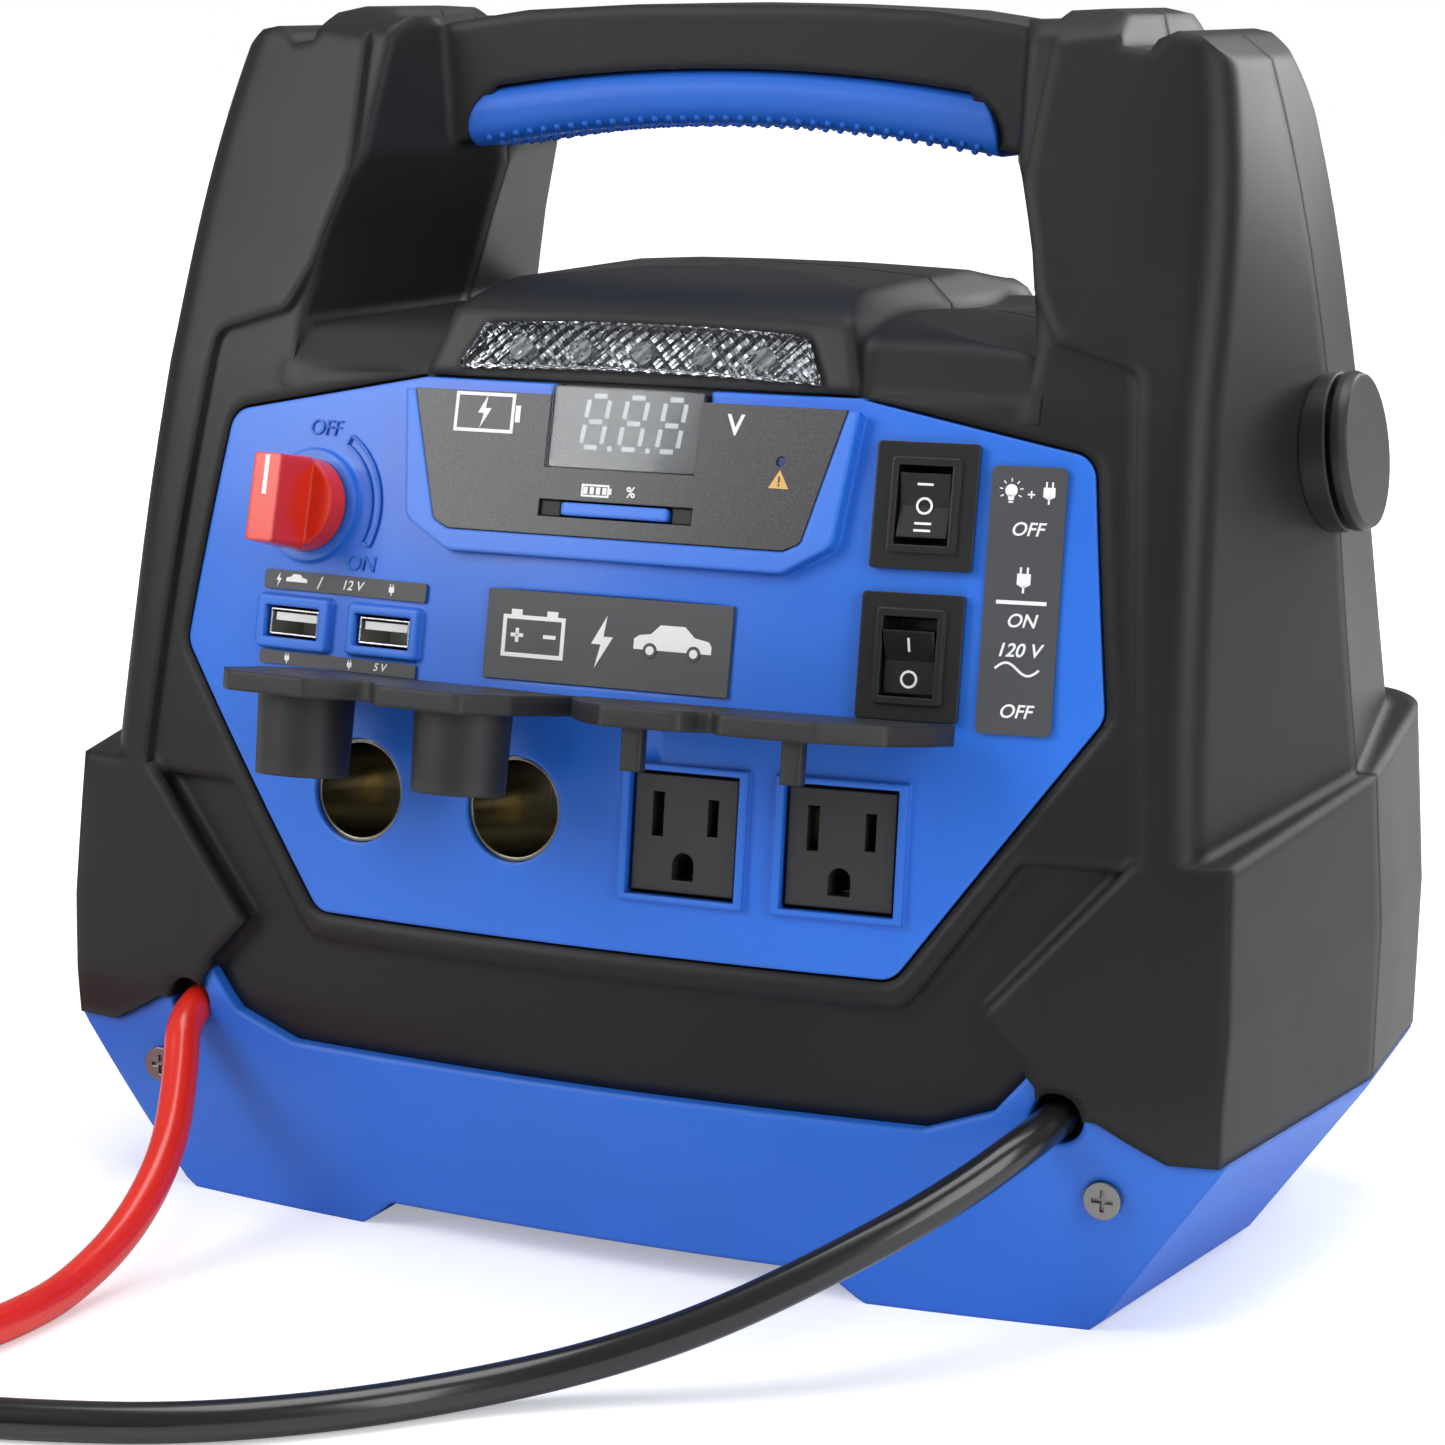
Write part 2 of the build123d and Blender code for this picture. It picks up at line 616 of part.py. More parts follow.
with BuildPart() as base_inside:
    with BuildSketch(XZ(-30)):
        with BuildLine():
            Polyline(*mirrored([(0, 70), (126, 70), (124, 38), (101, 6), (64, 6), (56, 10), (0, 10)]), close=True)
        make_face()
    with BuildSketch(XZ(Y_REAR - 4)):
        with BuildLine():
            Polyline(*mirrored([(0, 70), (134, 70), (131, 38), (108, 6), (64, 6), (56, 10), (0, 10)]), close=True)
        make_face()
    loft(ruled=True)
    add(front_tool(-5.0), mode=Mode.INTERSECT)
with BuildPart() as below_seam:
    add(below_front_tight.part)
    add(below_rest_tight.part)
with BuildPart() as base_body:
    add(base_tray.part)
    add(base_inside.part, mode=Mode.SUBTRACT)
    add(below_seam.part, mode=Mode.INTERSECT)
    with BuildSketch(XZ(10)):
        with Locations((EXIT_X, EXIT_Z), (-EXIT_X, EXIT_Z)):
            Circle(CABLE_D / 2 + 1.6)
    extrude(amount=60, mode=Mode.SUBTRACT)
    with BuildSketch(XY(-1)):
        with Locations((86, 8), (-86, 8), (86, 98), (-86, 98)):
            Circle(8.1)
    extrude(amount=2.5, mode=Mode.SUBTRACT)
    with BuildSketch(XZ(20)):
        with Locations((114, 30.6), (-114, 30.6)):
            Circle(2.1)
    extrude(amount=60, mode=Mode.SUBTRACT)
    with BuildSketch(XZ(-16.2)):
        with Locations((114, 30.6), (-114, 30.6)):
            Circle(4.2)
    extrude(amount=20, mode=Mode.SUBTRACT)
base_body.part.label = "base_tray"
print("base", base_body.part.volume, [round(q.volume) for q in base_body.part.solids()])
export_step(base_body.part, "parts/base_tray.step")

# case screws in the base
with BuildPart() as base_screws:
    for sx in (-114, 114):
        with BuildSketch(XZ(-16.1)):
            with Locations((sx, 30.6)):
                Circle(4.0)
        extrude(amount=1.6)
        with BuildSketch(XZ(-16.1)):
            with Locations((sx, 30.6)):
                Circle(1.9)
        extrude(amount=-11)
        with BuildSketch(XZ(-17.8)):
            with Locations((sx, 30.6)):
                Rectangle(4.6, 0.9)
                Rectangle(0.9, 4.6)
        extrude(amount=-1.0, mode=Mode.SUBTRACT)
base_screws.part.label = "base_screws"
export_step(base_screws.part, "parts/base_screws.step")

# ---------------------------------------------------------------- control panel
with BuildPart() as control_panel:
    add(panel_blank.part)
    add(FT0, mode=Mode.INTERSECT)
    add(FT_PANEL_BACK, mode=Mode.SUBTRACT)
    # boss that frames the display fascia
    with BuildSketch(FP(0, 170, 0)):
        with BuildLine():
            FilletPolyline((-53.5, 17.6), (-50.4, -10.5), (-39.5, -16.9), (39.5, -16.9), (50.4, -10.5), (53.5, 17.6), radius=4)
            Line((53.5, 17.6), (-53.5, 17.6))
        make_face()
    extrude(amount=1.9)
    with BuildSketch(FP(0, 170, 0)):
        with BuildLine():
            FilletPolyline((-53.5, 17.2), (-50.4, -10.5), (-39.5, -16.9), (39.5, -16.9), (50.4, -10.5), (53.5, 17.2), radius=4)
            Line((53.5, 17.2), (-53.5, 17.2))
        make_face()
    extrude(amount=-3.2)
    # collar round the power knob
    with BuildSketch(FP(*KNOB_XZ, -0.8)):
        Circle(12.9)
    extrude(amount=2.4, taper=12)
    # raised frames round the charging ports
    for c, w, h in ((USB_L, 20.4, 12.4), (USB_R, 19.4, 11.9)):
        with BuildSketch(FP(*c, -0.4)):
            RectangleRounded(w, h, 1.2)
        extrude(amount=2.2, taper=14)
    # frames round the mains outlets
    for c in (AC_L, AC_R):
        with BuildSketch(FP(*c, -0.4)):
            Rectangle(28.8, 29.2)
        extrude(amount=1.6)
    # openings
    for c in (USB_L, USB_R):
        with BuildSketch(FP(*c, 4)):
            Rectangle(14.6, 7.0)
        extrude(amount=-12, mode=Mode.SUBTRACT)
    for c in (AC_L, AC_R):
        with BuildSketch(FP(*c, 4)):
            Rectangle(25.2, 26.4)
        extrude(amount=-14, mode=Mode.SUBTRACT)
    for c in (SOCK_L, SOCK_R):
        with BuildSketch(FP(*c, 4)):
            Circle(11.5)
        extrude(amount=-14, mode=Mode.SUBTRACT)
    for c in (SW_1, SW_2):
        with BuildSketch(FP(*c, 4)):
            Rectangle(19.0, 23.4)
        extrude(amount=-14, mode=Mode.SUBTRACT)
    with BuildSketch(FP(*KNOB_XZ, 6)):
        Circle(5.2)
    extrude(amount=-14, mode=Mode.SUBTRACT)
    # seat for the display fascia
    with BuildSketch(FP(0, 170, 0.9)):
        with BuildLine():
            FilletPolyline((-51.2, 18.0), (-43.4, -10.4), (-39.6, -12.3), (39.6, -12.3), (43.4, -10.4), (51.2, 18.0), radius=2)
            Line((51.2, 18.0), (-51.2, 18.0))
        make_face()
    extrude(amount=6, mode=Mode.SUBTRACT)
    with BuildSketch(FP(0, 170, 4)):
        with Locations((0, 11.5)):
            Rectangle(37.5, 20)
        with Locations((0, -6.4)):
            Rectangle(36.6, 4.1)
    extrude(amount=-14, mode=Mode.SUBTRACT)
    with BuildSketch(FP(0, 137, 0.3)):
        Rectangle(58.4, 19.6)
    extrude(amount=-0.9, mode=Mode.SUBTRACT)
control_panel.part.label = "control_panel"
print("panel", control_panel.part.volume, [round(q.volume) for q in control_panel.part.solids()], control_panel.part.bounding_box())
export_step(control_panel.part, "parts/control_panel.step")


with BuildPart() as rubber_feet:
    with BuildSketch(XY(0)):
        with Locations((86, 8), (-86, 8), (86, 98), (-86, 98)):
            Circle(8.0)
    extrude(amount=1.5)
rubber_feet.part.label = "rubber_feet"
export_step(rubber_feet.part, "parts/rubber_feet.step")

# ---------------------------------------------------------------- display
with BuildPart() as display_fascia:
    with BuildSketch(FP(0, 170, 1.0)):
        with BuildLine():
            FilletPolyline((-51.0, 17.8), (-43.3, -10.3), (-39.6, -12.1), (39.6, -12.1), (43.3, -10.3), (51.0, 17.8), radius=2)
            Line((51.0, 17.8), (-51.0, 17.8))
        make_face()
        with Locations((0, 11.2)):
            Rectangle(35.6, 17.8, mode=Mode.SUBTRACT)
        with Locations((0, -6.4)):
            Rectangle(36.3, 3.7, mode=Mode.SUBTRACT)
        with Locations((37.2, 6.3)):
            Circle(1.1, mode=Mode.SUBTRACT)
    extrude(amount=1.1)
display_fascia.part.label = "display_fascia"
export_step(display_fascia.part, "parts/display_fascia.step")
with BuildPart() as display_window:
    with BuildSketch(FP(0, 170, 1.1)):
        with Locations((0, 11.2)):
            Rectangle(35.4, 17.6)
    extrude(amount=0.8)
display_window.part.label = "display_window"
export_step(display_window.part, "parts/display_window.step")
with BuildPart() as display_module:
    with BuildSketch(FP(0, 170, 0.8)):
        with Locations((0, 11.2)):
            Rectangle(35.0, 17.0)
    extrude(amount=-3.6)
display_module.part.label = "display_module"
export_step(display_module.part, "parts/display_module.step")
with BuildPart() as charge_led:
    with BuildSketch(FP(0, 170, 1.95)):
        with Locations((37.2, 6.3)):
            Circle(0.95)
    extrude(amount=-0.9)
charge_led.part.label = "charge_led"
export_step(charge_led.part, "parts/charge_led.step")
with BuildPart() as slot_ends:                       # dark guides at both ends of the check button
    with BuildSketch(FP(0, 170, 1.3)):
        with Locations((-15.6, -6.4), (15.6, -6.4)):
            Rectangle(4.8, 3.5)
    extrude(amount=-4.5)
slot_ends.part.label = "button_guides"
export_step(slot_ends.part, "parts/button_guides.step")
with BuildPart() as check_button:
    with BuildSketch(FP(0, 170, 2.4)):
        with Locations((0, -6.4)):
            RectangleRounded(25.0, 2.7, 0.6)
    extrude(amount=-5.0)
check_button.part.label = "check_button"
export_step(check_button.part, "parts/check_button.step")
with BuildPart() as display_board:
    with BuildSketch(FP(0, 170, -9.0)):
        with Locations((0, 2)):
            Rectangle(86, 26)
    extrude(amount=-1.6)
display_board.part.label = "display_board"
export_step(display_board.part, "parts/display_board.step")

# ---------------------------------------------------------------- label plates
with BuildPart() as centre_label:
    with BuildSketch(FP(0, 137, -0.55)):
        Rectangle(58.0, 19.2)
    extrude(amount=0.8)
centre_label.part.label = "centre_label"
export_step(centre_label.part, "parts/centre_label.step")
with BuildPart() as port_labels:
    with BuildSketch(FP(-66.5, 143.9, 0.04)):
        RectangleRounded(43.4, 4.2, 0.6)
    extrude(amount=0.45)
    with BuildSketch(FP(-67, 127.0, 0.04)):
        RectangleRounded(42.0, 3.0, 0.5)
    extrude(amount=0.45)
port_labels.part.label = "port_labels"
export_step(port_labels.part, "parts/port_labels.step")
with BuildPart() as switch_label:
    with BuildSketch(FP(90.3, 151, 0.06)):
        RectangleRounded(15.8, 54.6, 1.5)
    extrude(amount=0.45)
switch_label.part.label = "switch_label"
export_step(switch_label.part, "parts/switch_label.step")

# ---------------------------------------------------------------- rotary power switch
with BuildPart() as power_knob:
    with BuildSketch(FP(*KNOB_XZ, 2.1)):
        Circle(10.4)
    extrude(amount=5.0, taper=4)
    with BuildSketch(FP(*KNOB_XZ, 7.0)):
        RectangleRounded(8.4, 20.4, 1.4)
    extrude(amount=11.0, taper=3)
    with BuildSketch(FP(*KNOB_XZ, 2.0)):
        Circle(3.1)
    extrude(amount=8.0, mode=Mode.SUBTRACT)
power_knob.part.label = "power_knob"
export_step(power_knob.part, "parts/power_knob.step")
with BuildPart() as knob_shaft:
    with BuildSketch(FP(*KNOB_XZ, -6.0)):
        Circle(3.1)
    extrude(amount=16.0)
knob_shaft.part.label = "knob_shaft"
export_step(knob_shaft.part, "parts/knob_shaft.step")
with BuildPart() as rotary_switch:
    with BuildSketch(FP(*KNOB_XZ, -PANEL_T - 4.5)):
        Circle(16)
    extrude(amount=-18)
    with BuildSketch(FP(*KNOB_XZ, -0.5)):
        Circle(5.0)
    extrude(amount=-7)
    with BuildSketch(FP(*KNOB_XZ, 0)):
        Circle(3.15)
    extrude(amount=-6.2, mode=Mode.SUBTRACT)
rotary_switch.part.label = "rotary_switch"
export_step(rotary_switch.part, "parts/rotary_switch.step")

# ---------------------------------------------------------------- charging ports
with BuildPart() as usb_shells:
    for c in (USB_L, USB_R):
        with BuildSketch(FP(*c, 0.6)):
            Rectangle(13.2, 5.8)
            Rectangle(12.4, 5.0, mode=Mode.SUBTRACT)
        extrude(amount=-13)
usb_shells.part.label = "usb_shells"
export_step(usb_shells.part, "parts/usb_shells.step")
with BuildPart() as usb_tongues:
    for c in (USB_L, USB_R):
        with BuildSketch(FP(*c, -0.2)):
            with Locations((0, 1.15)):
                Rectangle(11.2, 1.8)
        extrude(amount=-12.2)
        with BuildSketch(FP(*c, -11.0)):
            Rectangle(12.3, 4.9)
        extrude(amount=-1.9)
usb_tongues.part.label = "usb_tongues"
export_step(usb_tongues.part, "parts/usb_tongues.step")

# ---------------------------------------------------------------- rocker switches
ROCK_H = ((SW_1, 0.0), (SW_2, 12.0))
with BuildPart() as switch_housings:
    for c, tilt in ROCK_H:
        with BuildSketch(FP(*c, 0.2)):
            RectangleRounded(21.8, 26.2, 0.8)
        extrude(amount=1.5)
        with BuildSketch(FP(*c, 0.3)):
            Rectangle(18.7, 23.1)
        extrude(amount=-17.3)
        with BuildSketch(FP(*c, 1.6)):
            RectangleRounded(14.4, 19.6, 0.8)
        extrude(amount=1.2)
        with BuildSketch(FP(*c, 2.8)):
            Rectangle(11.6, 16.4)
        extrude(amount=-13, mode=Mode.SUBTRACT)
switch_housings.part.label = "switch_housings"
print("switches", [round(q.volume) for q in switch_housings.part.solids()])
export_step(switch_housings.part, "parts/switch_housings.step")
for (c, tilt), rn in zip(ROCK_H, ("rocker_1", "rocker_2")):
    with BuildPart() as rocker:
        pl = FP(*c, -3.0)
        side = Plane(origin=pl.origin - pl.x_dir * 5.4, x_dir=pl.y_dir, z_dir=pl.x_dir)
        zx = 1 if (pl.z_dir.dot(side.y_dir)) > 0 else -1
        a = math.radians(tilt)
        with BuildSketch(side):
            with BuildLine():
                pts = [(-6.6, 5.4), (0, 4.2), (6.6, 5.4), (6.2, 1.0), (3.0, -6.0), (-3.0, -6.0), (-6.2, 1.0)]
                rot = [(u * math.cos(a) - v * math.sin(a), zx * (u * math.sin(a) + v * math.cos(a))) for u, v in pts]
                Polyline(*rot, close=True)
            make_face()
        extrude(amount=10.8)
    rocker.part.label = rn
    export_step(rocker.part, "parts/" + rn + ".step")
    print(rn, "axis", pl.origin, pl.x_dir)

# ---------------------------------------------------------------- mains outlets
with BuildPart() as outlet_bodies:
    for c in (AC_L, AC_R):
        with BuildSketch(FP(*c, -0.5)):
            Rectangle(23.4, 24.6)
        extrude(amount=-15)
        with BuildSketch(FP(*c, -4.5)):
            Rectangle(25.0, 26.2)
        extrude(amount=-4)
        with BuildSketch(FP(*c, 0)):
            with Locations((-6.3, 4.0)):
                Rectangle(2.6, 9.4)
            with Locations((6.3, 4.0)):
                Rectangle(2.4, 7.8)
            with Locations((0, -8.0)):
                Rectangle(4.9, 3.4)
            with Locations((0, -6.3)):
                Circle(2.45)
        extrude(amount=-13, mode=Mode.SUBTRACT)
outlet_bodies.part.label = "outlet_bodies"
export_step(outlet_bodies.part, "parts/outlet_bodies.step")
with BuildPart() as outlet_contacts:
    for c in (AC_L, AC_R):
        with BuildSketch(FP(*c, -8)):
            with Locations((-7.3, 4.0), (7.2, 4.0)):
                Rectangle(0.5, 6.8)
            with Locations((0, -9.4)):
                Rectangle(3.4, 0.5)
        extrude(amount=-4.8)
outlet_contacts.part.label = "outlet_contacts"
export_step(outlet_contacts.part, "parts/outlet_contacts.step")

# ---------------------------------------------------------------- 12 V sockets
with BuildPart() as socket_barrels:
    for c in (SOCK_L, SOCK_R):
        with BuildSketch(FP(*c, -1.2)):
            Circle(11.3)
            Circle(SOCK_BORE / 2, mode=Mode.SUBTRACT)
        extrude(amount=-34)
        with BuildSketch(FP(*c, -35.2)):
            Circle(11.3)
            Circle(3.6, mode=Mode.SUBTRACT)
        extrude(amount=-1.5)
socket_barrels.part.label = "socket_barrels"
export_step(socket_barrels.part, "parts/socket_barrels.step")
with BuildPart() as socket_contacts:
    for c in (SOCK_L, SOCK_R):
        with BuildSketch(FP(*c, -35.2)):
            Circle(3.4)
        extrude(amount=-6.8)
socket_contacts.part.label = "socket_contacts"
export_step(socket_contacts.part, "parts/socket_contacts.step")

# ---------------------------------------------------------------- rubber covers, hinged along their top edge
COVER_T = 4.2


def cover_plane(x, z, dz=0.0, up=9.0):
    """Plane lying in an open cover: local x to the right, local y away from the panel."""
    a = math.radians(up)
    fx = 2 * x / (2 * PLAN_R)
    n = Vector(0, 0, 1)
    out = Vector(fx, -1, 0).normalized()
    axis = Vector(1, fx, 0).normalized()
    yd = out * math.cos(a) + n * math.sin(a)
    zd = n * math.cos(a) - out * math.sin(a)
    return Plane(origin=(x, fy(x, z) - Y_SHIFT - 0.45, z), x_dir=axis, z_dir=axis.cross(yd)).offset(dz)


C12 = cover_plane(-40.5, 121.6)
CAC = cover_plane(36.0, 121.8)
print("cover hinge 12", C12.origin, C12.x_dir, C12.y_dir, C12.z_dir)
print("cover hinge ac", CAC.origin, CAC.x_dir)
with BuildPart() as cover_12v:
    with BuildSketch(C12):
        with BuildLine():
            FilletPolyline((-33, 3.4), (-37.5, 12), (-37, 27), (-30, 35.5), (-10, 36.5), (-1.5, 27.5), (1.5, 27.5), (8, 36.5), (28, 36), (34, 25), (37, 10), (37.5, 3.4), radius=2.4)
            Line((37.5, 3.4), (-33, 3.4))
        make_face()
    extrude(amount=-COVER_T)
    with BuildSketch(C12.offset(-1.3)):
        with Locations((2.2, 2.3)):
            Rectangle(66, 4.0)
    extrude(amount=-1.6)
    for px in (-18.8, 20.6):
        with BuildSketch(C12.offset(-0.2)):
            with Locations((px, 21.5)):
                Circle(10.4)
        extrude(amount=17.6, taper=1.5)
    # plug hollows
    for px in (-18.8, 20.6):
        with BuildSketch(C12.offset(17.6)):
            with Locations((px, 21.5)):
                Circle(7.8)
        extrude(amount=-14, mode=Mode.SUBTRACT)
cover_12v.part.label = "cover_12v"
print("cover 12v", [round(q.volume) for q in cover_12v.part.solids()], cover_12v.part.bounding_box())
export_step(cover_12v.part, "parts/cover_12v.step")
with BuildPart() as cover_ac:
    with BuildSketch(CAC):
        with BuildLine():
            FilletPolyline((-38, 3.4), (-36, 14), (-28, 26), (-21, 33), (-4, 33.5), (0.5, 25.5), (5, 33.5), (26, 34.5), (38, 26), (43.5, 12), (44.5, 3.4), radius=2.2)
            Line((44.5, 3.4), (-38, 3.4))
        make_face()
    extrude(amount=-COVER_T)
    with BuildSketch(CAC.offset(-1.3)):
        with Locations((3, 2.3)):
            Rectangle(76, 4.0)
    extrude(amount=-1.6)
    with BuildSketch(CAC.offset(-0.2)):
        with Locations((-14.6, 29.6), (20.4, 30.4)):
            RectangleRounded(4.6, 3.6, 0.8)
    extrude(amount=9.0)
cover_ac.part.label = "cover_ac"
print("cover ac", [round(q.volume) for q in cover_ac.part.solids()], cover_ac.part.bounding_box())
export_step(cover_ac.part, "parts/cover_ac.step")


# ---------------------------------------------------------------- work lamp
with BuildPart() as lamp_lens:
    with BuildSketch(LAMP.offset(-2.2)):
        with BuildLine():
            lamp_outline(0.0)
        make_face()
    extrude(amount=2.0)
lamp_lens.part.label = "lamp_lens"
export_step(lamp_lens.part, "parts/lamp_lens.step")
with BuildPart() as lamp_reflector:
    with BuildSketch(LAMP.offset(-6.2)):
        with BuildLine():
            lamp_outline(-0.2)
        make_face()
    extrude(amount=1.2)
lamp_reflector.part.label = "lamp_reflector"
export_step(lamp_reflector.part, "parts/lamp_reflector.step")
with BuildPart() as lamp_leds:
    with BuildSketch(LAMP.offset(-5.0)):
        with Locations(*[(x, -0.2) for x in (-29, -14.5, 0, 14.5, 29)]):
            Circle(2.5)
    extrude(amount=2.4)
lamp_leds.part.label = "lamp_leds"
export_step(lamp_leds.part, "parts/lamp_leds.step")

# ---------------------------------------------------------------- inside the case
with BuildPart() as battery:
    with BuildSketch(XY(11)):
        with Locations((0, 65)):
            Rectangle(BATTERY[0], BATTERY[1])
    extrude(amount=158)
    with BuildSketch(XY(169)):
        with Locations((0, 63)):
            Rectangle(150, 56)
    extrude(amount=BATTERY[2] - 158)
battery.part.label = "battery"
export_step(battery.part, "parts/battery.step")
with BuildPart() as battery_terminals:
    with BuildSketch(XY(169)):
        with Locations((-83, 62), (83, 62)):
            Rectangle(12, 12)
    extrude(amount=10)
battery_terminals.part.label = "battery_terminals"
export_step(battery_terminals.part, "parts/battery_terminals.step")
with BuildPart() as inverter_board:
    with BuildSketch(YZ(98)):
        with Locations((56, 104)):
            Rectangle(84, 130)
    extrude(amount=1.6)
inverter_board.part.label = "inverter_board"
export_step(inverter_board.part, "parts/inverter_board.step")
with BuildPart() as inverter_heatsink:
    with BuildSketch(XY(60)):
        with Locations((102.1, 60)):
            Rectangle(3.6, 60)
        with Locations(*[(108.0, 33 + 9 * i) for i in range(7)]):
            Rectangle(8.4, 1.6)
    extrude(amount=80)
inverter_heatsink.part.label = "inverter_heatsink"
export_step(inverter_heatsink.part, "parts/inverter_heatsink.step")
with BuildPart() as control_board:
    with BuildSketch(YZ(-99)):
        with Locations((60, 100)):
            Rectangle(70, 110)
    extrude(amount=-1.6)
control_board.part.label = "control_board"
export_step(control_board.part, "parts/control_board.step")
with BuildPart() as start_relay:
    with BuildSketch(XY(60)):
        with Locations((-112, 60)):
            Circle(9)
    extrude(amount=42)
start_relay.part.label = "start_relay"
export_step(start_relay.part, "parts/start_relay.step")

# rear: ventilation grille with fan, charging inlet, case screws
FAN_C = (62.0, 96.0)
with BuildPart() as rear_fittings:
    add(rear_shell.part)
    for i in range(7):
        with BuildSketch(XZ(Y_REAR + 5)):
            with Locations((FAN_C[0], FAN_C[1] - 21 + 7 * i)):
                SlotOverall(2 * math.sqrt(max(10, 26 ** 2 - (-21 + 7 * i) ** 2)), 3.2)
        extrude(amount=20, mode=Mode.SUBTRACT)
    with BuildSketch(XZ(Y_REAR + 5)):
        with Locations((-70, 88)):
            Circle(8.2)
    extrude(amount=20, mode=Mode.SUBTRACT)
    with BuildSketch(XZ(Y_REAR + 5)):
        with Locations((-122, 52), (122, 52), (-112, 92), (112, 92)):
            Circle(3.3)
    extrude(amount=8.5, mode=Mode.SUBTRACT)
rear_fittings.part.label = "rear_shell"
print("rear", [round(q.volume) for q in rear_fittings.part.solids()])
export_step(rear_fittings.part, "parts/rear_shell.step")
with BuildPart() as case_screws:
    for x, z in ((-122, 52), (122, 52), (-112, 92), (112, 92)):
        with BuildSketch(XZ(Y_REAR - 3.4)):
            with Locations((x, z)):
                Circle(3.1)
        extrude(amount=-1.8)
        with BuildSketch(XZ(Y_REAR - 1.6)):
            with Locations((x, z)):
                Rectangle(3.8, 0.8)
                Rectangle(0.8, 3.8)
        extrude(amount=0.9, mode=Mode.SUBTRACT)
case_screws.part.label = "case_screws"
export_step(case_screws.part, "parts/case_screws.step")
with BuildPart() as charge_inlet:
    with BuildSketch(XZ(Y_REAR + 0.8)):
        with Locations((-70, 88)):
            Circle(10)
            Circle(4.2, mode=Mode.SUBTRACT)
    extrude(amount=0.7)
    with BuildSketch(XZ(Y_REAR + 0.2)):
        with Locations((-70, 88)):
            Circle(8.1)
            Circle(4.2, mode=Mode.SUBTRACT)
    extrude(amount=7.5)
    with BuildSketch(XZ(Y_REAR - 5)):
        with Locations((-70, 88)):
            Circle(4.3)
    extrude(amount=2)
    with BuildSketch(XZ(Y_REAR - 0.5)):
        with Locations((-70, 88)):
            Circle(0.9)
    extrude(amount=6)
charge_inlet.part.label = "charge_inlet"
export_step(charge_inlet.part, "parts/charge_inlet.step")
with BuildPart() as fan_frame:
    with BuildSketch(XZ(Y_REAR - 5.6)):
        with Locations(FAN_C):
            RectangleRounded(50, 50, 4)
            Circle(23.4, mode=Mode.SUBTRACT)
    extrude(amount=11.5)
    with BuildSketch(XZ(Y_REAR - 15.5)):
        with Locations(FAN_C):
            Circle(9)
            Rectangle(49, 2.4)
            Rectangle(2.4, 49)
    extrude(amount=1.6)
    with BuildSketch(XZ(Y_REAR - 12)):
        with Locations(*[(FAN_C[0] + a * 21.2, FAN_C[1] + b * 21.2) for a in (-1, 1) for b in (-1, 1)]):
            Circle(1.7)
    extrude(amount=20, both=True, mode=Mode.SUBTRACT)
    add(rear_fittings.part, mode=Mode.SUBTRACT)
fan_frame.part.label = "fan_frame"
export_step(fan_frame.part, "parts/fan_frame.step")
with BuildPart() as fan_rotor:
    with BuildSketch(XZ(Y_REAR - 6.6)):
        with Locations(FAN_C):
            Circle(9)
    extrude(amount=8.2)
    for k in range(7):
        a = 2 * math.pi * k / 7
        rx, rz = math.cos(a), math.sin(a)
        with BuildSketch(Plane(origin=(FAN_C[0] + 8.4 * rx, Y_REAR - 10.6 - Y_SHIFT, FAN_C[1] + 8.4 * rz), x_dir=(-rz * 0.82, 0.57, rx * 0.82), z_dir=(rx, 0, rz))):
            Rectangle(10.5, 1.1)
        extrude(amount=13.6)
fan_rotor.part.label = "fan_rotor"
print("fan", [round(q.volume) for q in fan_frame.part.solids()], [round(q.volume) for q in fan_rotor.part.solids()], fan_rotor.part.bounding_box())
export_step(fan_rotor.part, "parts/fan_rotor.step")

# ---------------------------------------------------------------- booster cables
RED_PTS = [(-104.4, -8, 47.3), (-103.6, -23, 46.4), (-97.4, -34, 34.6), (-91.2, -49, 21.5), (-88.6, -69, 10.4),
           (-88.8, -91, 4.3), (-89.1, -108, 4.0), (-91.6, -122, 4.05), (-98, -134.8, 4.0), (-108, -144.6, 4.05), (-121, -151, 4.0), (-137, -153.2, 4.05), (-156, -152.4, 4.0), (-170, -152.0, 4.0)]
RED_TAIL = [(-213.6, -118, 13.6), (-215.0, -101, 12.2), (-219.5, -87, 9.4), (-226.0, -74.5, 9.8), (-229.4, -60.3, 10.0)]
BLACK_PTS = [(104.4, -8, 47.3), (103.9, -25, 46.2), (91.5, -45, 36.0), (73.5, -64, 25.4), (54, -79, 15.4), (34, -90, 8.0), (14, -105, 4.2),
             (-4, -125, 4.0), (-27, -143, 4.1), (-54, -153.5, 4.0), (-82, -161, 4.05), (-110, -168.5, 4.0), (-136, -171.2, 4.05), (-150, -171.0, 4.0)]
BLACK_TAIL = [(-140, -251.0, 13.6), (-124, -251.6, 13.2), (-108, -254.2, 9.6), (-96, -258.6, 9.4), (-82, -259.2, 10.0)]
RED_COIL = (-170.0, -108.0)
BLACK_COIL = (-150.0, -215.0)
COIL_R = 40.0


def runs_and_arcs(name, pts):
    """Corners of a cable's route, with each arc as large as its runs allow."""
    vs = [Vector(q[0], q[1] - Y_SHIFT, q[2]) for q in pts]
    rad = []
    for i in range(1, len(vs) - 1):
        u, v = vs[i] - vs[i - 1], vs[i + 1] - vs[i]
        turn = math.radians(max(0.2, u.get_angle(v)))
        rad.append(0.45 * min(u.length, v.length) / math.tan(turn / 2))
    print(name, "radii", [round(q, 1) for q in rad], "runs", [round((b - a).length, 1) for a, b in zip(vs, vs[1:])])
    return vs, rad


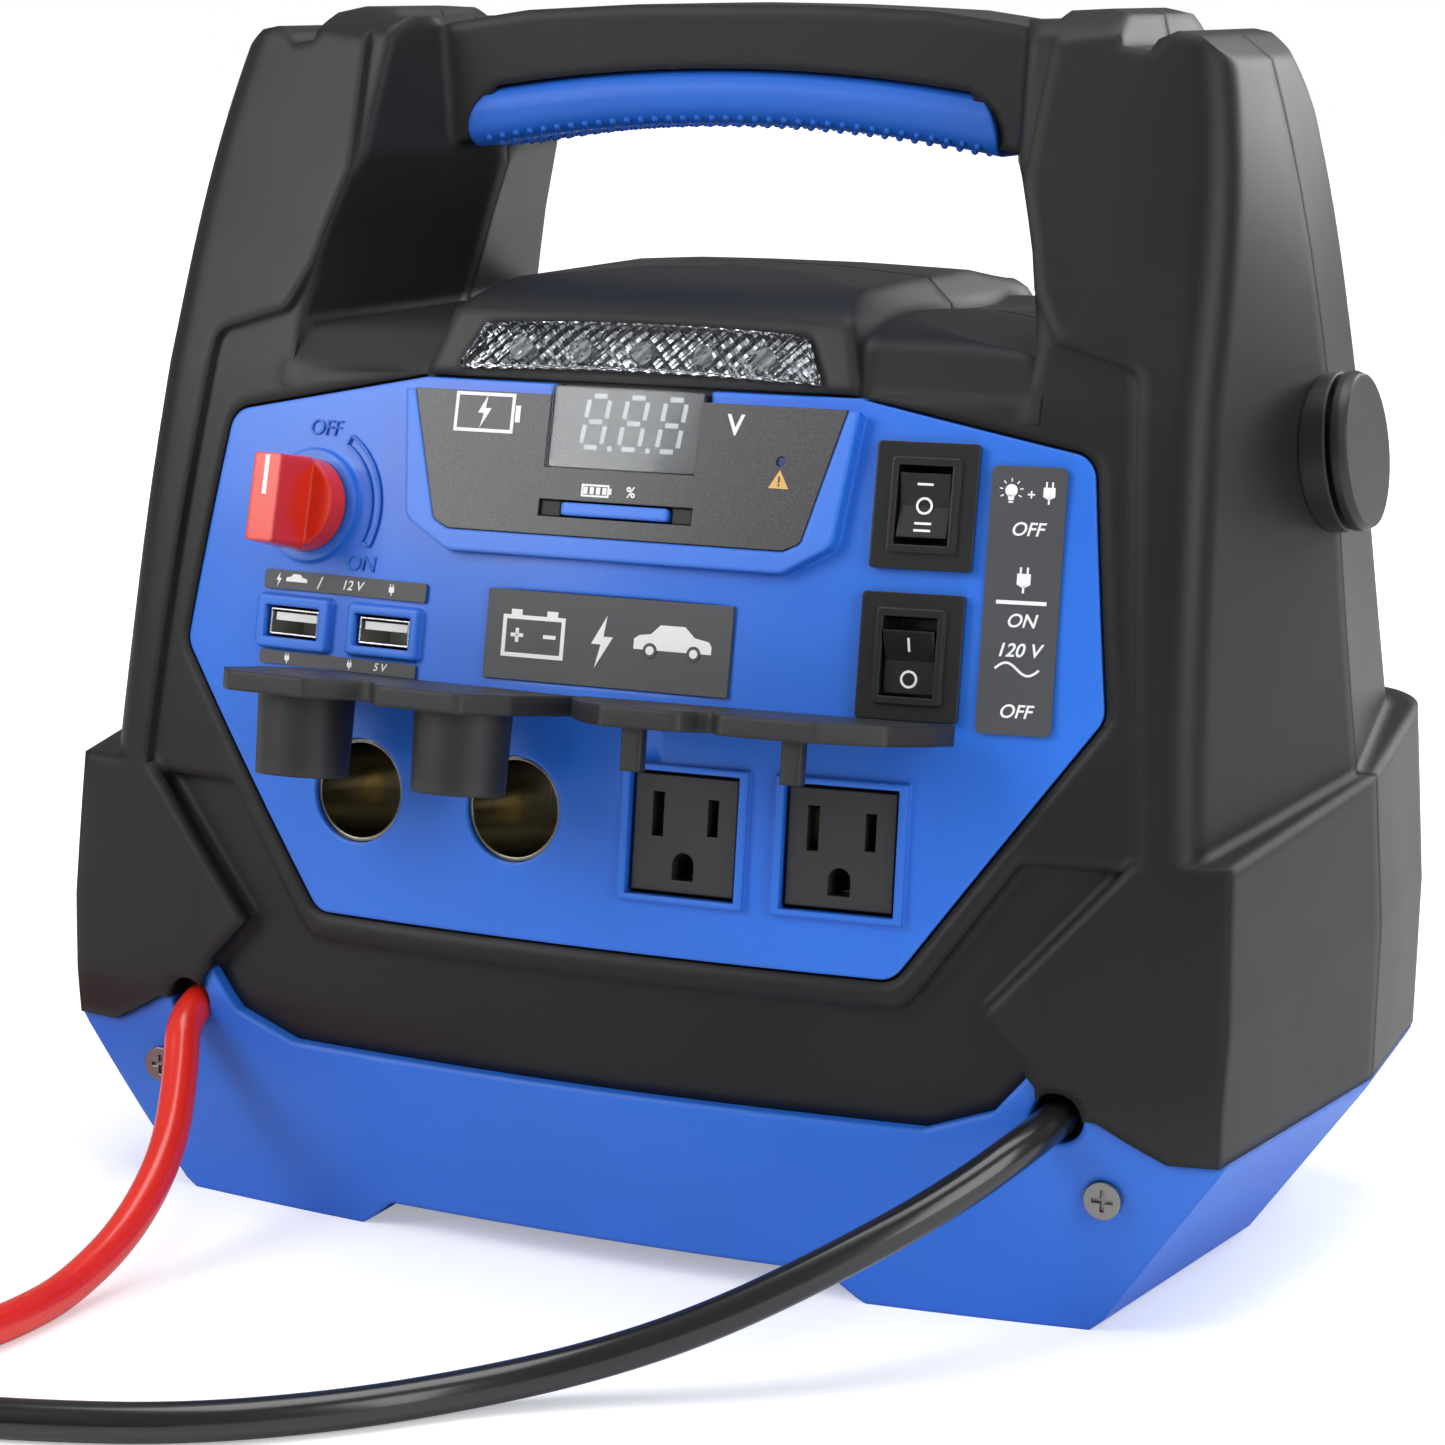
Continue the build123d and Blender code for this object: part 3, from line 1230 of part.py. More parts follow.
for name, parts in (("red_cable", (RED_PTS, RED_TAIL)), ("black_cable", (BLACK_PTS, BLACK_TAIL))):
    with BuildPart() as cable:
        total = 0.0
        for pts in parts:
            vs, rad = runs_and_arcs(name, pts)
            with BuildLine() as route:
                FilletPolyline(*vs, radius=rad)
            total += route.wires()[0].length
            with BuildSketch(Plane(origin=vs[0], z_dir=(vs[1] - vs[0]))):
                Circle(CABLE_D / 2)
            sweep(path=route.wires()[0], transition=Transition.RIGHT)
    cable.part.label = name
    print(name, "length", round(total, 1), "volume ratio", round(cable.part.volume / (total * math.pi * CABLE_D ** 2 / 4), 4), "lowest z", round(cable.part.bounding_box().min.Z, 3))
    export_step(cable.part, "parts/" + name + ".step")
for name, (cx, cy) in (("red_cable_coil", RED_COIL), ("black_cable_coil", BLACK_COIL)):
    with BuildPart() as coil:
        with BuildSketch(Plane(origin=(cx, cy - Y_SHIFT, 0), x_dir=(1, 0, 0), z_dir=(0, -1, 0))):
            with Locations((COIL_R, 5.0)):
                RectangleRounded(17.0, 10.0, 3.9)
        revolve(axis=Axis((cx, cy - Y_SHIFT, 0), (0, 0, 1)))
    coil.part.label = name
    export_step(coil.part, "parts/" + name + ".step")
with BuildPart() as cable_grommets:
    with BuildSketch(XZ(-8.5)):
        with Locations((EXIT_X, EXIT_Z), (-EXIT_X, EXIT_Z)):
            Circle(5.5)
            Circle(4.1, mode=Mode.SUBTRACT)
    extrude(amount=3.0)
cable_grommets.part.label = "cable_grommets"
export_step(cable_grommets.part, "parts/cable_grommets.step")

# battery clamps: two channel-shaped halves, toothed contact plates, hinge pin and spring, lying on their sides
CLAMP_H = 20.0
CLAMPS = (("red", (-226.0, -3.2), 105.0, 1), ("black", (-28.0, -241.0), 0.0, -1))     # pivot, heading of the jaws, side of the wired half
HALF_A = [(46, 1.2), (47.5, 5), (40, 10.5), (24, 12.5), (6, 10.5), (-8, 12), (-30, 18.5), (-56, 25), (-60, 23.5), (-60, 17),
          (-56, 16), (-30, 10.5), (-10, 4.4), (0, 0.4), (6, 0.8), (14, 3.2), (30, 5.6), (40, 3.4)]
HANDLE_HOLLOW = [(-57.5, 2), (-57.5, 22.6), (-30, 16.1), (-12, 10.8), (-12, 2)]
JAW_HOLLOW = [(10, -1), (10, 8.8), (24, 10.3), (36, 8.7), (36, -1)]
TEETH = [(46, 1.2), (46, 0.3), (44.8, 1.1), (43.6, 0.4), (42.4, 1.6), (41.2, 0.9), (40, 2.3), (38.8, 2.0), (30, 4.5), (16, 2.5), (16, 3.5), (30, 5.6), (40, 3.4)]


def clamp_plane(pivot, deg, z=0.0):
    a = math.radians(deg)
    return Plane(origin=(pivot[0], pivot[1] - Y_SHIFT, z), x_dir=(math.cos(a), math.sin(a), 0), z_dir=(0, 0, 1))


for nm, pivot, deg, wired in CLAMPS:
    base = clamp_plane(pivot, deg)
    for half, sg in (("fixed", wired), ("moving", -wired)):
        with BuildPart() as jaw:
            with BuildSketch(base):
                with BuildLine():
                    Polyline(*[(u, sg * v) for u, v in HALF_A], close=True)
                make_face()
            extrude(amount=CLAMP_H)
            for hollow in (HANDLE_HOLLOW, JAW_HOLLOW):
                with BuildSketch(base.offset(2.0)):
                    with BuildLine():
                        Polyline(*[(u, sg * v) for u, v in hollow], close=True)
                    make_face()
                extrude(amount=CLAMP_H - 4, mode=Mode.SUBTRACT)
            cuts = ((1.7, 3.2), (7.5, 5.0), (15.1, 3.2)) if half == "fixed" else ((4.6, 10.8),)
            for z0, h in cuts:
                with BuildSketch(base.offset(z0)):
                    Circle(6.3)
                extrude(amount=h, mode=Mode.SUBTRACT)
            ears = ((4.9, 2.6), (12.5, 2.6)) if half == "fixed" else ((2.0, 2.6), (15.4, 2.6))
            for z0, h in ears:
                with BuildSketch(base.offset(z0)):
                    with BuildLine():
                        Polyline((-5, 0), (5, 0), (5, sg * 9), (-5, sg * 9), close=True)
                    make_face()
                    Circle(5.6)
                    Circle(2.05, mode=Mode.SUBTRACT)
                extrude(amount=h)
            with BuildSketch(base):
                Circle(2.05)
            extrude(amount=CLAMP_H, mode=Mode.SUBTRACT)
            if half == "fixed":
                with BuildSketch(Plane(origin=base.from_local_coords(Vector(-66, sg * 18.2, 10)), x_dir=(0, 0, 1), z_dir=base.x_dir)):
                    Circle(4.3)
                extrude(amount=10, mode=Mode.SUBTRACT)
        jaw.part.label = nm + "_clamp_" + half
        export_step(jaw.part, "parts/" + nm + "_clamp_" + half + ".step")
with BuildPart() as clamp_pins:
    for nm, pivot, deg, wired in CLAMPS:
        with BuildSketch(clamp_plane(pivot, deg, 1.0)):
            Circle(2.0)
        extrude(amount=18)
clamp_pins.part.label = "clamp_pins"
export_step(clamp_pins.part, "parts/clamp_pins.step")
with BuildPart() as clamp_springs:
    for nm, pivot, deg, wired in CLAMPS:
        with BuildLine() as wire:
            Helix(pitch=1.45, height=3.2, radius=4.1, center=(pivot[0], pivot[1] - Y_SHIFT, 8.3))
        with BuildSketch(Plane(origin=wire.line @ 0, z_dir=wire.line % 0)):
            Circle(0.6)
        sweep(path=wire.wires()[0])
clamp_springs.part.label = "clamp_springs"
print("springs", [round(q.volume) for q in clamp_springs.part.solids()])
export_step(clamp_springs.part, "parts/clamp_springs.step")
with BuildPart() as contacts_fixed:
    for nm, pivot, deg, wired in CLAMPS:
        with BuildSketch(clamp_plane(pivot, deg, 2.0)):
            with BuildLine():
                Polyline(*[(u, wired * v) for u, v in TEETH], close=True)
            make_face()
        extrude(amount=CLAMP_H - 4)
contacts_fixed.part.label = "clamp_contacts_fixed"
export_step(contacts_fixed.part, "parts/clamp_contacts_fixed.step")
for nm, pivot, deg, wired in CLAMPS:
    with BuildPart() as contact:
        with BuildSketch(clamp_plane(pivot, deg, 2.0)):
            with BuildLine():
                Polyline(*[(u, -wired * v) for u, v in TEETH], close=True)
            make_face()
        extrude(amount=CLAMP_H - 4)
    contact.part.label = nm + "_contact_moving"
    export_step(contact.part, "parts/" + nm + "_contact_moving.step")
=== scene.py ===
import bpy, bmesh, math
from mathutils import Vector, Matrix


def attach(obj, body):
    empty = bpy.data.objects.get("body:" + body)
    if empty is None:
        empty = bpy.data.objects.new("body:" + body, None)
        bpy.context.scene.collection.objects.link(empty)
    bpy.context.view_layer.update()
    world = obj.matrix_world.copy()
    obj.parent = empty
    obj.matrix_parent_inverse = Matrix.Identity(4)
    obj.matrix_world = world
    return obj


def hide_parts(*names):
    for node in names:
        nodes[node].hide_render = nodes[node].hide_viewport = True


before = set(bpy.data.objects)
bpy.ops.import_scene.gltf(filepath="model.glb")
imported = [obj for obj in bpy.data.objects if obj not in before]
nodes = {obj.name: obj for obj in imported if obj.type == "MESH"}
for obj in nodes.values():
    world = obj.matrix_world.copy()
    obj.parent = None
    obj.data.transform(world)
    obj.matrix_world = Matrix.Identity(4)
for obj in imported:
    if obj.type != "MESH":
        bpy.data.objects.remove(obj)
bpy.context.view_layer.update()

scene = bpy.context.scene
YS = 34.6          # y of the design origin, mm


def V(x, y, z):
    """Point in the design frame (mm) as a point of the row frame (m)."""
    return Vector((x / 1000, (y - YS) / 1000, z / 1000))


# ------------------------------------------------------------------ camera
cam_data = bpy.data.cameras.new("camera")
cam = bpy.data.objects.new("camera", cam_data)
scene.collection.objects.link(cam)
cam.location = V(351.476, -701.047, 273.926)
cam.rotation_mode = "QUATERNION"
cam.rotation_quaternion = Vector((0.41884, -0.88666, 0.19615)).to_track_quat("Z", "Y")
cam_data.lens = 92.18
cam_data.sensor_width = 36
cam_data.clip_start = 0.05
cam_data.clip_end = 50
cam_data.dof.use_dof = False
scene.camera = cam

# ------------------------------------------------------------------ booster cables
RED = [(-104.4, -8, 47.3), (-103.6, -23, 46.4), (-97.4, -34, 34.6), (-91.2, -49, 21.5), (-88.6, -69, 10.4),
       (-88.8, -91, 4.3), (-89.1, -108, 4.0), (-91.6, -122, 4.05), (-98, -134.8, 4.0), (-108, -144.6, 4.05), (-121, -151, 4.0), (-137, -153.2, 4.05), (-156, -152.4, 4.0)]
RED_TAIL = [(-215.0, -100, 12.2), (-219.5, -87, 9.4), (-226.0, -74.5, 9.8), (-229.4, -60.3, 10.0)]
BLACK = [(104.4, -8, 47.3), (103.9, -25, 46.2), (91.5, -45, 36.0), (73.5, -64, 25.4), (54, -79, 15.4), (34, -90, 8.0), (14, -105, 4.2),
         (-4, -125, 4.0), (-27, -143, 4.1), (-54, -153.5, 4.0), (-82, -161, 4.05), (-110, -168.5, 4.0), (-136, -171.2, 4.05)]
BLACK_TAIL = [(-136, -250.6, 12.4), (-122, -251.8, 12.4), (-108, -254.4, 9.6), (-96, -258.4, 9.4), (-82, -259.2, 10.0)]


def coil(cx, cy, a0, turns, sense, rise):
    """Turns of a put-away coil: first lap outside, next beside it, the end rising over the first lap."""
    out = []
    n = round(16 * turns)
    for i in range(n + 1):
        t = i / 16
        k = min(1.0, max(0.0, (t - 0.72) / 0.3))
        r = 44.4 - 8.4 * k
        z = 4.1
        up = (t - (turns - rise)) / rise
        if up > 0:
            z = 4.1 + 8.1 * min(1.0, 1.9 * up)
            if sense < 0:
                r = 36.0 + 8.0 * max(0.0, up) ** 1.4
        a = math.radians(a0 + sense * 360 * t)
        out.append((cx + r * math.cos(a), cy + r * math.sin(a), z))
    return out


def cable(name, pts):
    cu = bpy.data.curves.new(name, "CURVE")
    cu.dimensions = "3D"
    sp = cu.splines.new("NURBS")
    sp.points.add(len(pts) - 1)
    for p, q in zip(sp.points, pts):
        v = V(*q)
        p.co = (v.x, v.y, v.z, 1)
    sp.order_u = 3
    sp.use_endpoint_u = True
    sp.resolution_u = 10
    cu.bevel_depth = 0.004
    cu.bevel_resolution = 8
    cu.use_fill_caps = True
    ob = bpy.data.objects.new(name, cu)
    scene.collection.objects.link(ob)
    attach(ob, "case")
    return ob


red = cable("red_booster_cable", RED + coil(-170, -108, -90, 2.25, -1, 0.22) + RED_TAIL)
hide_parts("red_cable", "red_cable_coil")
black = cable("black_booster_cable", BLACK + coil(-150, -215, 90, 1.5, 1, 0.16) + BLACK_TAIL)
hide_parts("black_cable", "black_cable_coil")

# ------------------------------------------------------------------ materials
MATS = {}


def plastic(name, col, rough=0.45, grain=1400, bump=0.06, dist=0.0001, bevel=0.0008, coat=0.0, var=0.12, spec=0.5, metallic=0.0, speck=None, painted_edge_highlight=0.0):
    """Moulded plastic or rubber: fine grain, slight colour and gloss variation, softened edges."""
    m = bpy.data.materials.new(name)
    m.use_nodes = True
    nt = m.node_tree
    b = nt.nodes["Principled BSDF"]
    tc = nt.nodes.new("ShaderNodeTexCoord")
    n1 = nt.nodes.new("ShaderNodeTexNoise")
    n1.inputs["Scale"].default_value = 28
    n1.inputs["Detail"].default_value = 5
    n2 = nt.nodes.new("ShaderNodeTexNoise")
    n2.inputs["Scale"].default_value = grain
    n2.inputs["Detail"].default_value = 3
    nt.links.new(tc.outputs["Object"], n1.inputs["Vector"])
    nt.links.new(tc.outputs["Object"], n2.inputs["Vector"])
    cr = nt.nodes.new("ShaderNodeValToRGB")
    cr.color_ramp.elements[0].position = 0.3
    cr.color_ramp.elements[1].position = 0.75
    cr.color_ramp.elements[0].color = (*[c * (1 - var) for c in col], 1)
    cr.color_ramp.elements[1].color = (*[min(1, c * (1 + var)) for c in col], 1)
    nt.links.new(n1.outputs["Fac"], cr.inputs["Fac"])
    colour = cr.outputs["Color"]
    if speck:
        vo = nt.nodes.new("ShaderNodeTexVoronoi")
        vo.inputs["Scale"].default_value = speck[0]
        nt.links.new(tc.outputs["Object"], vo.inputs["Vector"])
        sr = nt.nodes.new("ShaderNodeValToRGB")
        sr.color_ramp.elements[0].position = 0.0
        sr.color_ramp.elements[1].position = speck[2]
        sr.color_ramp.elements[0].color = (1, 1, 1, 1)
        sr.color_ramp.elements[1].color = (0, 0, 0, 1)
        nt.links.new(vo.outputs["Distance"], sr.inputs["Fac"])
        mx = nt.nodes.new("ShaderNodeMix")
        mx.data_type = "RGBA"
        nt.links.new(sr.outputs["Color"], mx.inputs[0])
        nt.links.new(colour, mx.inputs[6])
        mx.inputs[7].default_value = (*speck[1], 1)
        colour = mx.outputs[2]
    # painted highlight: convex edges (high Pointiness) are mixed towards a lighter copy of the base colour, standing
    # in for light caught on the rims
    if painted_edge_highlight:
        ge = nt.nodes.new("ShaderNodeNewGeometry")
        edge_highlight_ramp = nt.nodes.new("ShaderNodeValToRGB")
        edge_highlight_ramp.color_ramp.elements[0].position = 0.53
        edge_highlight_ramp.color_ramp.elements[1].position = 0.62
        nt.links.new(ge.outputs["Pointiness"], edge_highlight_ramp.inputs["Fac"])
        edge_highlight_mix = nt.nodes.new("ShaderNodeMix")
        edge_highlight_mix.data_type = "RGBA"
        mu = nt.nodes.new("ShaderNodeMath")
        mu.operation = "MULTIPLY"
        mu.inputs[1].default_value = painted_edge_highlight
        nt.links.new(edge_highlight_ramp.outputs["Color"], mu.inputs[0])
        nt.links.new(mu.outputs[0], edge_highlight_mix.inputs[0])
        nt.links.new(colour, edge_highlight_mix.inputs[6])
        edge_highlight_mix.inputs[7].default_value = (*[min(1, c * 1.8 + 0.02) for c in col], 1)
        colour = edge_highlight_mix.outputs[2]
    nt.links.new(colour, b.inputs["Base Color"])
    rr = nt.nodes.new("ShaderNodeMapRange")
    rr.inputs["To Min"].default_value = rough - 0.05
    rr.inputs["To Max"].default_value = rough + 0.07
    nt.links.new(n1.outputs["Fac"], rr.inputs["Value"])
    nt.links.new(rr.outputs["Result"], b.inputs["Roughness"])
    bp = nt.nodes.new("ShaderNodeBump")
    bp.inputs["Strength"].default_value = bump
    bp.inputs["Distance"].default_value = dist
    nt.links.new(n2.outputs["Fac"], bp.inputs["Height"])
    if bevel:
        bv = nt.nodes.new("ShaderNodeBevel")
        bv.samples = 6
        bv.inputs["Radius"].default_value = bevel
        nt.links.new(bv.outputs["Normal"], bp.inputs["Normal"])
    nt.links.new(bp.outputs["Normal"], b.inputs["Normal"])
    b.inputs["Metallic"].default_value = metallic
    b.inputs["Specular IOR Level"].default_value = spec
    b.inputs["Coat Weight"].default_value = coat
    b.inputs["Coat Roughness"].default_value = 0.12
    MATS[name] = m
    return m


def metal(name, col, rough=0.25, bump=0.02, grain=500):
    m = plastic(name, col, rough, grain, bump, 0.0001, 0.0004, 0, 0.06, 0.5, 1.0)
    return m


def clear(name, col=(0.95, 0.97, 1.0), rough=0.03, hatch=0.0, pitch=0.0022, ior=1.46):
    m = bpy.data.materials.new(name)
    m.use_nodes = True
    nt = m.node_tree
    b = nt.nodes["Principled BSDF"]
    b.inputs["Base Color"].default_value = (*col, 1)
    b.inputs["Transmission Weight"].default_value = 1.0
    b.inputs["IOR"].default_value = ior
    tc = nt.nodes.new("ShaderNodeTexCoord")
    n1 = nt.nodes.new("ShaderNodeTexNoise")
    n1.inputs["Scale"].default_value = 60
    nt.links.new(tc.outputs["Object"], n1.inputs["Vector"])
    rr = nt.nodes.new("ShaderNodeMapRange")
    rr.inputs["To Min"].default_value = rough
    rr.inputs["To Max"].default_value = rough + 0.05
    nt.links.new(n1.outputs["Fac"], rr.inputs["Value"])
    nt.links.new(rr.outputs["Result"], b.inputs["Roughness"])
    if hatch:
        nt.links.new(hatching(nt, tc, hatch, pitch), b.inputs["Normal"])
    MATS[name] = m
    return m


def hatching(nt, tc, strength, pitch):
    """Two crossed sets of grooves, as in a prismatic lamp lens."""
    hs = []
    for ang in (0.82, -0.82):
        mp = nt.nodes.new("ShaderNodeMapping")
        mp.inputs["Rotation"].default_value = (0, ang, 0)
        nt.links.new(tc.outputs["Object"], mp.inputs["Vector"])
        wv = nt.nodes.new("ShaderNodeTexWave")
        wv.wave_type = "BANDS"
        wv.bands_direction = "X"
        wv.wave_profile = "TRI"
        wv.inputs["Scale"].default_value = 0.05 * 2 * math.pi / pitch / 1.0
        wv.inputs["Distortion"].default_value = 0.0
        nt.links.new(mp.outputs["Vector"], wv.inputs["Vector"])
        hs.append(wv.outputs["Fac"])
    ad = nt.nodes.new("ShaderNodeMath")
    ad.operation = "ADD"
    nt.links.new(hs[0], ad.inputs[0])
    nt.links.new(hs[1], ad.inputs[1])
    bp = nt.nodes.new("ShaderNodeBump")
    bp.inputs["Strength"].default_value = strength
    bp.inputs["Distance"].default_value = 0.0006
    nt.links.new(ad.outputs[0], bp.inputs["Height"])
    return bp.outputs["Normal"]


# the case, panel, base and cover plastics below carry a painted highlight on their convex edges
plastic("case_black", (0.0070, 0.0074, 0.0088), 0.42, 1500, 0.16, 0.00012, 0.0040, 0, 0.10, 0.34, painted_edge_highlight=0.25)
plastic("panel_blue", (0.016, 0.150, 0.700), 0.36, 1100, 0.10, 0.0001, 0.0012, 0.12, 0.05, 0.5, painted_edge_highlight=0.12)
plastic("base_blue", (0.014, 0.135, 0.640), 0.40, 1100, 0.12, 0.0001, 0.0020, 0.05, 0.05, 0.5, painted_edge_highlight=0.12)
plastic("grip_blue", (0.012, 0.120, 0.580), 0.50, 900, 0.10, 0.0001, 0.0012, 0, 0.05, 0.4)
plastic("fascia_grey", (0.040, 0.040, 0.043), 0.33, 2200, 0.25, 0.0001, 0.0003, 0.2, 0.10, 0.5, 0.35, speck=(2600, (0.30, 0.30, 0.31), 0.20))
plastic("label_grey", (0.058, 0.060, 0.066), 0.42, 1500, 0.05, 0.0001, 0.0002, 0, 0.04)
plastic("print_white", (0.83, 0.84, 0.85), 0.45, 900, 0.02, 0.0001, 0.0, 0, 0.02)
plastic("print_amber", (0.72, 0.42, 0.12), 0.45, 900, 0.02, 0.0001, 0.0, 0, 0.02)
plastic("print_dark", (0.03, 0.03, 0.03), 0.5, 900, 0.02, 0.0001, 0.0, 0, 0.02)
plastic("knob_red", (0.74, 0.030, 0.010), 0.30, 900, 0.06, 0.0001, 0.0010, 0.25, 0.05)
plastic("switch_gloss", (0.012, 0.012, 0.013), 0.24, 900, 0.05, 0.0001, 0.0005, 0.2, 0.08)
plastic("outlet_dark", (0.022, 0.022, 0.024), 0.46, 1200, 0.35, 0.00015, 0.0005, 0, 0.08)
plastic("cover_black", (0.014, 0.014, 0.015), 0.48, 800, 0.22, 0.0002, 0.0011, 0, 0.14, 0.45, painted_edge_highlight=0.3)
plastic("post_black", (0.015, 0.015, 0.017), 0.38, 1200, 0.12, 0.0001, 0.0009, 0, 0.08)
plastic("feet_black", (0.012, 0.012, 0.012), 0.75, 700, 0.3, 0.0002, 0.0008)
plastic("dark_inside", (0.012, 0.012, 0.012), 0.55, 700, 0.1)
plastic("red_rubber", (0.74, 0.022, 0.010), 0.26, 260, 0.05, 0.0003, 0.0006, 0.35, 0.08)
plastic("black_rubber", (0.0095, 0.0095, 0.010), 0.24, 260, 0.06, 0.0003, 0.0006, 0.35, 0.12)
plastic("lcd", (0.045, 0.048, 0.052), 0.20, 500, 0.02, 0.0001, 0.0, 0.4, 0.15)
plastic("lcd_digit", (0.72, 0.75, 0.76), 0.35, 500, 0.02, 0.0001, 0.0, 0.2, 0.05)
plastic("usb_white", (0.80, 0.80, 0.78), 0.4, 900, 0.05, 0.0001, 0.0003)
plastic("board_green", (0.02, 0.15, 0.05), 0.4, 400, 0.2, 0.0002, 0.0003, speck=(260, (0.5, 0.45, 0.25), 0.12))
plastic("battery_grey", (0.07, 0.07, 0.075), 0.5, 900, 0.2, 0.0002, 0.002)
plastic("grille_black", (0.012, 0.012, 0.013), 0.5, 900, 0.1)
metal("steel", (0.62, 0.61, 0.58), 0.24)
metal("screw", (0.26, 0.25, 0.24), 0.33, 0.2, 900)
metal("chrome", (0.80, 0.80, 0.80), 0.10, 0.02)
metal("socket_metal", (0.30, 0.28, 0.22), 0.20, 0.03)
metal("brass", (0.78, 0.57, 0.25), 0.28)
metal("copper", (0.80, 0.42, 0.25), 0.30)
metal("aluminium", (0.75, 0.75, 0.77), 0.35)
rf = metal("reflector", (0.86, 0.87, 0.88), 0.14)
nt = rf.node_tree
tcn = next(n for n in nt.nodes if n.type == "TEX_COORD")
nt.links.new(hatching(nt, tcn, 0.9, 0.0024), nt.nodes["Principled BSDF"].inputs["Normal"])
clear("lamp_clear", hatch=0.55, pitch=0.0026)
clear("window_clear", (0.96, 0.97, 0.98), 0.02, ior=1.22)
clear("led_clear", (0.80, 0.83, 0.88), 0.08)
plastic("led_body", (0.16, 0.17, 0.18), 0.25, 900, 0.02, 0.0001, 0.0004, 0.5, 0.1)

USE = {
    "case_black": "front_shell rear_shell", "panel_blue": "control_panel check_button", "base_blue": "base_tray", "grip_blue": "handle_grip",
    "screw": "base_screws case_screws clamp_pins clamp_springs", "feet_black": "rubber_feet", "fascia_grey": "display_fascia", "window_clear": "display_window",
    "lcd": "display_module", "led_clear": "charge_led", "led_body": "lamp_leds", "dark_inside": "button_guides cable_grommets start_relay rotary_switch",
    "label_grey": "centre_label port_labels switch_label", "knob_red": "power_knob", "steel": "knob_shaft usb_shells", "socket_metal": "socket_barrels",
    "usb_white": "usb_tongues", "switch_gloss": "switch_housings rocker_1 rocker_2", "outlet_dark": "outlet_bodies", "brass": "outlet_contacts battery_terminals socket_contacts",
    "cover_black": "cover_12v cover_ac", "post_black": "clamp_posts charge_inlet", "lamp_clear": "lamp_lens", "reflector": "lamp_reflector",
    "board_green": "display_board inverter_board control_board", "battery_grey": "battery", "aluminium": "inverter_heatsink", "grille_black": "fan_frame fan_rotor",
    "red_rubber": "red_clamp_fixed red_clamp_moving", "black_rubber": "black_clamp_fixed black_clamp_moving", "copper": "clamp_contacts_fixed red_contact_moving black_contact_moving"}


def paint(ob, mat):
    ob.data.materials.clear()
    ob.data.materials.append(MATS[mat])


for mat, names in USE.items():
    for n in names.split():
        paint(nodes[n], mat)
paint(red, "red_rubber")
paint(black, "black_rubber")


# ------------------------------------------------------------------ tangent frames on the front
def yc(z):
    if z < 50:
        return -25.6 + 0.0269 * (50 - z) + 0.002157 * (50 - z) ** 2
    if z <= 190:
        return -24 + 0.10 * (z - 72.7) + 0.00078 * (z - 72.7) ** 2
    return yc(190) + 0.38 * (z - 190)


def fy(x, z):
    return yc(z) + x * x / (2 * 769.0)


def FM(x, z, off=0.0):
    """Matrix of the plane tangent to the front at (x, z): local units are metres."""
    e = 0.01
    fx = (fy(x + e, z) - fy(x - e, z)) / (2 * e)
    fz = (fy(x, z + e) - fy(x, z - e)) / (2 * e)
    n = Vector((fx, -1, fz)).normalized()
    u = Vector((1, fx, 0)).normalized()
    w = n.cross(u)
    o = V(x, fy(x, z), z) + n * off / 1000
    return Matrix(((u.x, w.x, n.x, o.x), (u.y, w.y, n.y, o.y), (u.z, w.z, n.z, o.z), (0, 0, 0, 1)))


def marks(name, polys, M, mat, body="case", thick=0.06):
    """Thin raised print: each polygon in millimetres on plane M."""
    bm = bmesh.new()
    for pl in polys:
        vs = [bm.verts.new(M @ Vector((u / 1000, v / 1000, 0))) for u, v in pl]
        f = bm.faces.new(vs)
    bmesh.ops.recalc_face_normals(bm, faces=bm.faces)
    n = (M.to_3x3() @ Vector((0, 0, 1))).normalized()
    for f in bm.faces:
        f.normal_update()
        if f.normal.dot(n) < 0:
            f.normal_flip()
    r = bmesh.ops.extrude_face_region(bm, geom=list(bm.faces))
    bmesh.ops.translate(bm, vec=n * thick / 1000, verts=[g for g in r["geom"] if isinstance(g, bmesh.types.BMVert)])
    me = bpy.data.meshes.new(name)
    bmesh.ops.recalc_face_normals(bm, faces=bm.faces)
    bm.to_mesh(me)
    bm.free()
    ob = bpy.data.objects.new(name, me)
    scene.collection.objects.link(ob)
    paint(ob, mat)
    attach(ob, body)
    return ob


def rect(u, v, w, h):
    return [(u - w / 2, v - h / 2), (u + w / 2, v - h / 2), (u + w / 2, v + h / 2), (u - w / 2, v + h / 2)]


def disc(u, v, r, n=24):
    return [(u + r * math.cos(2 * math.pi * i / n), v + r * math.sin(2 * math.pi * i / n)) for i in range(n)]


def seg(u1, v1, u2, v2, w):
    d = Vector((u2 - u1, v2 - v1)).normalized() * w / 2
    return [(u1 - d.y, v1 + d.x), (u1 + d.y, v1 - d.x), (u2 + d.y, v2 - d.x), (u2 - d.y, v2 + d.x)]


def ring(u, v, r, w, a0=0, a1=360, n=32):
    out = []
    for i in range(n):
        b, c = [math.radians(a0 + (a1 - a0) * k / n) for k in (i, i + 1)]
        out.append([(u + (r - w / 2) * math.cos(b), v + (r - w / 2) * math.sin(b)), (u + (r + w / 2) * math.cos(b), v + (r + w / 2) * math.sin(b)),
                    (u + (r + w / 2) * math.cos(c), v + (r + w / 2) * math.sin(c)), (u + (r - w / 2) * math.cos(c), v + (r - w / 2) * math.sin(c))])
    return out


def frame4(u, v, w, h, t):
    return [rect(u, v + h / 2 - t / 2, w, t), rect(u, v - h / 2 + t / 2, w, t), rect(u - w / 2 + t / 2, v, t, h - 2 * t), rect(u + w / 2 - t / 2, v, t, h - 2 * t)]


def bolt(u, v, s):
    return [[(u + a * s, v + b * s) for a, b in ((0.15, 1.0), (-0.45, -0.1), (-0.05, -0.1), (-0.25, -1.0), (0.45, 0.2), (0.05, 0.2))]]


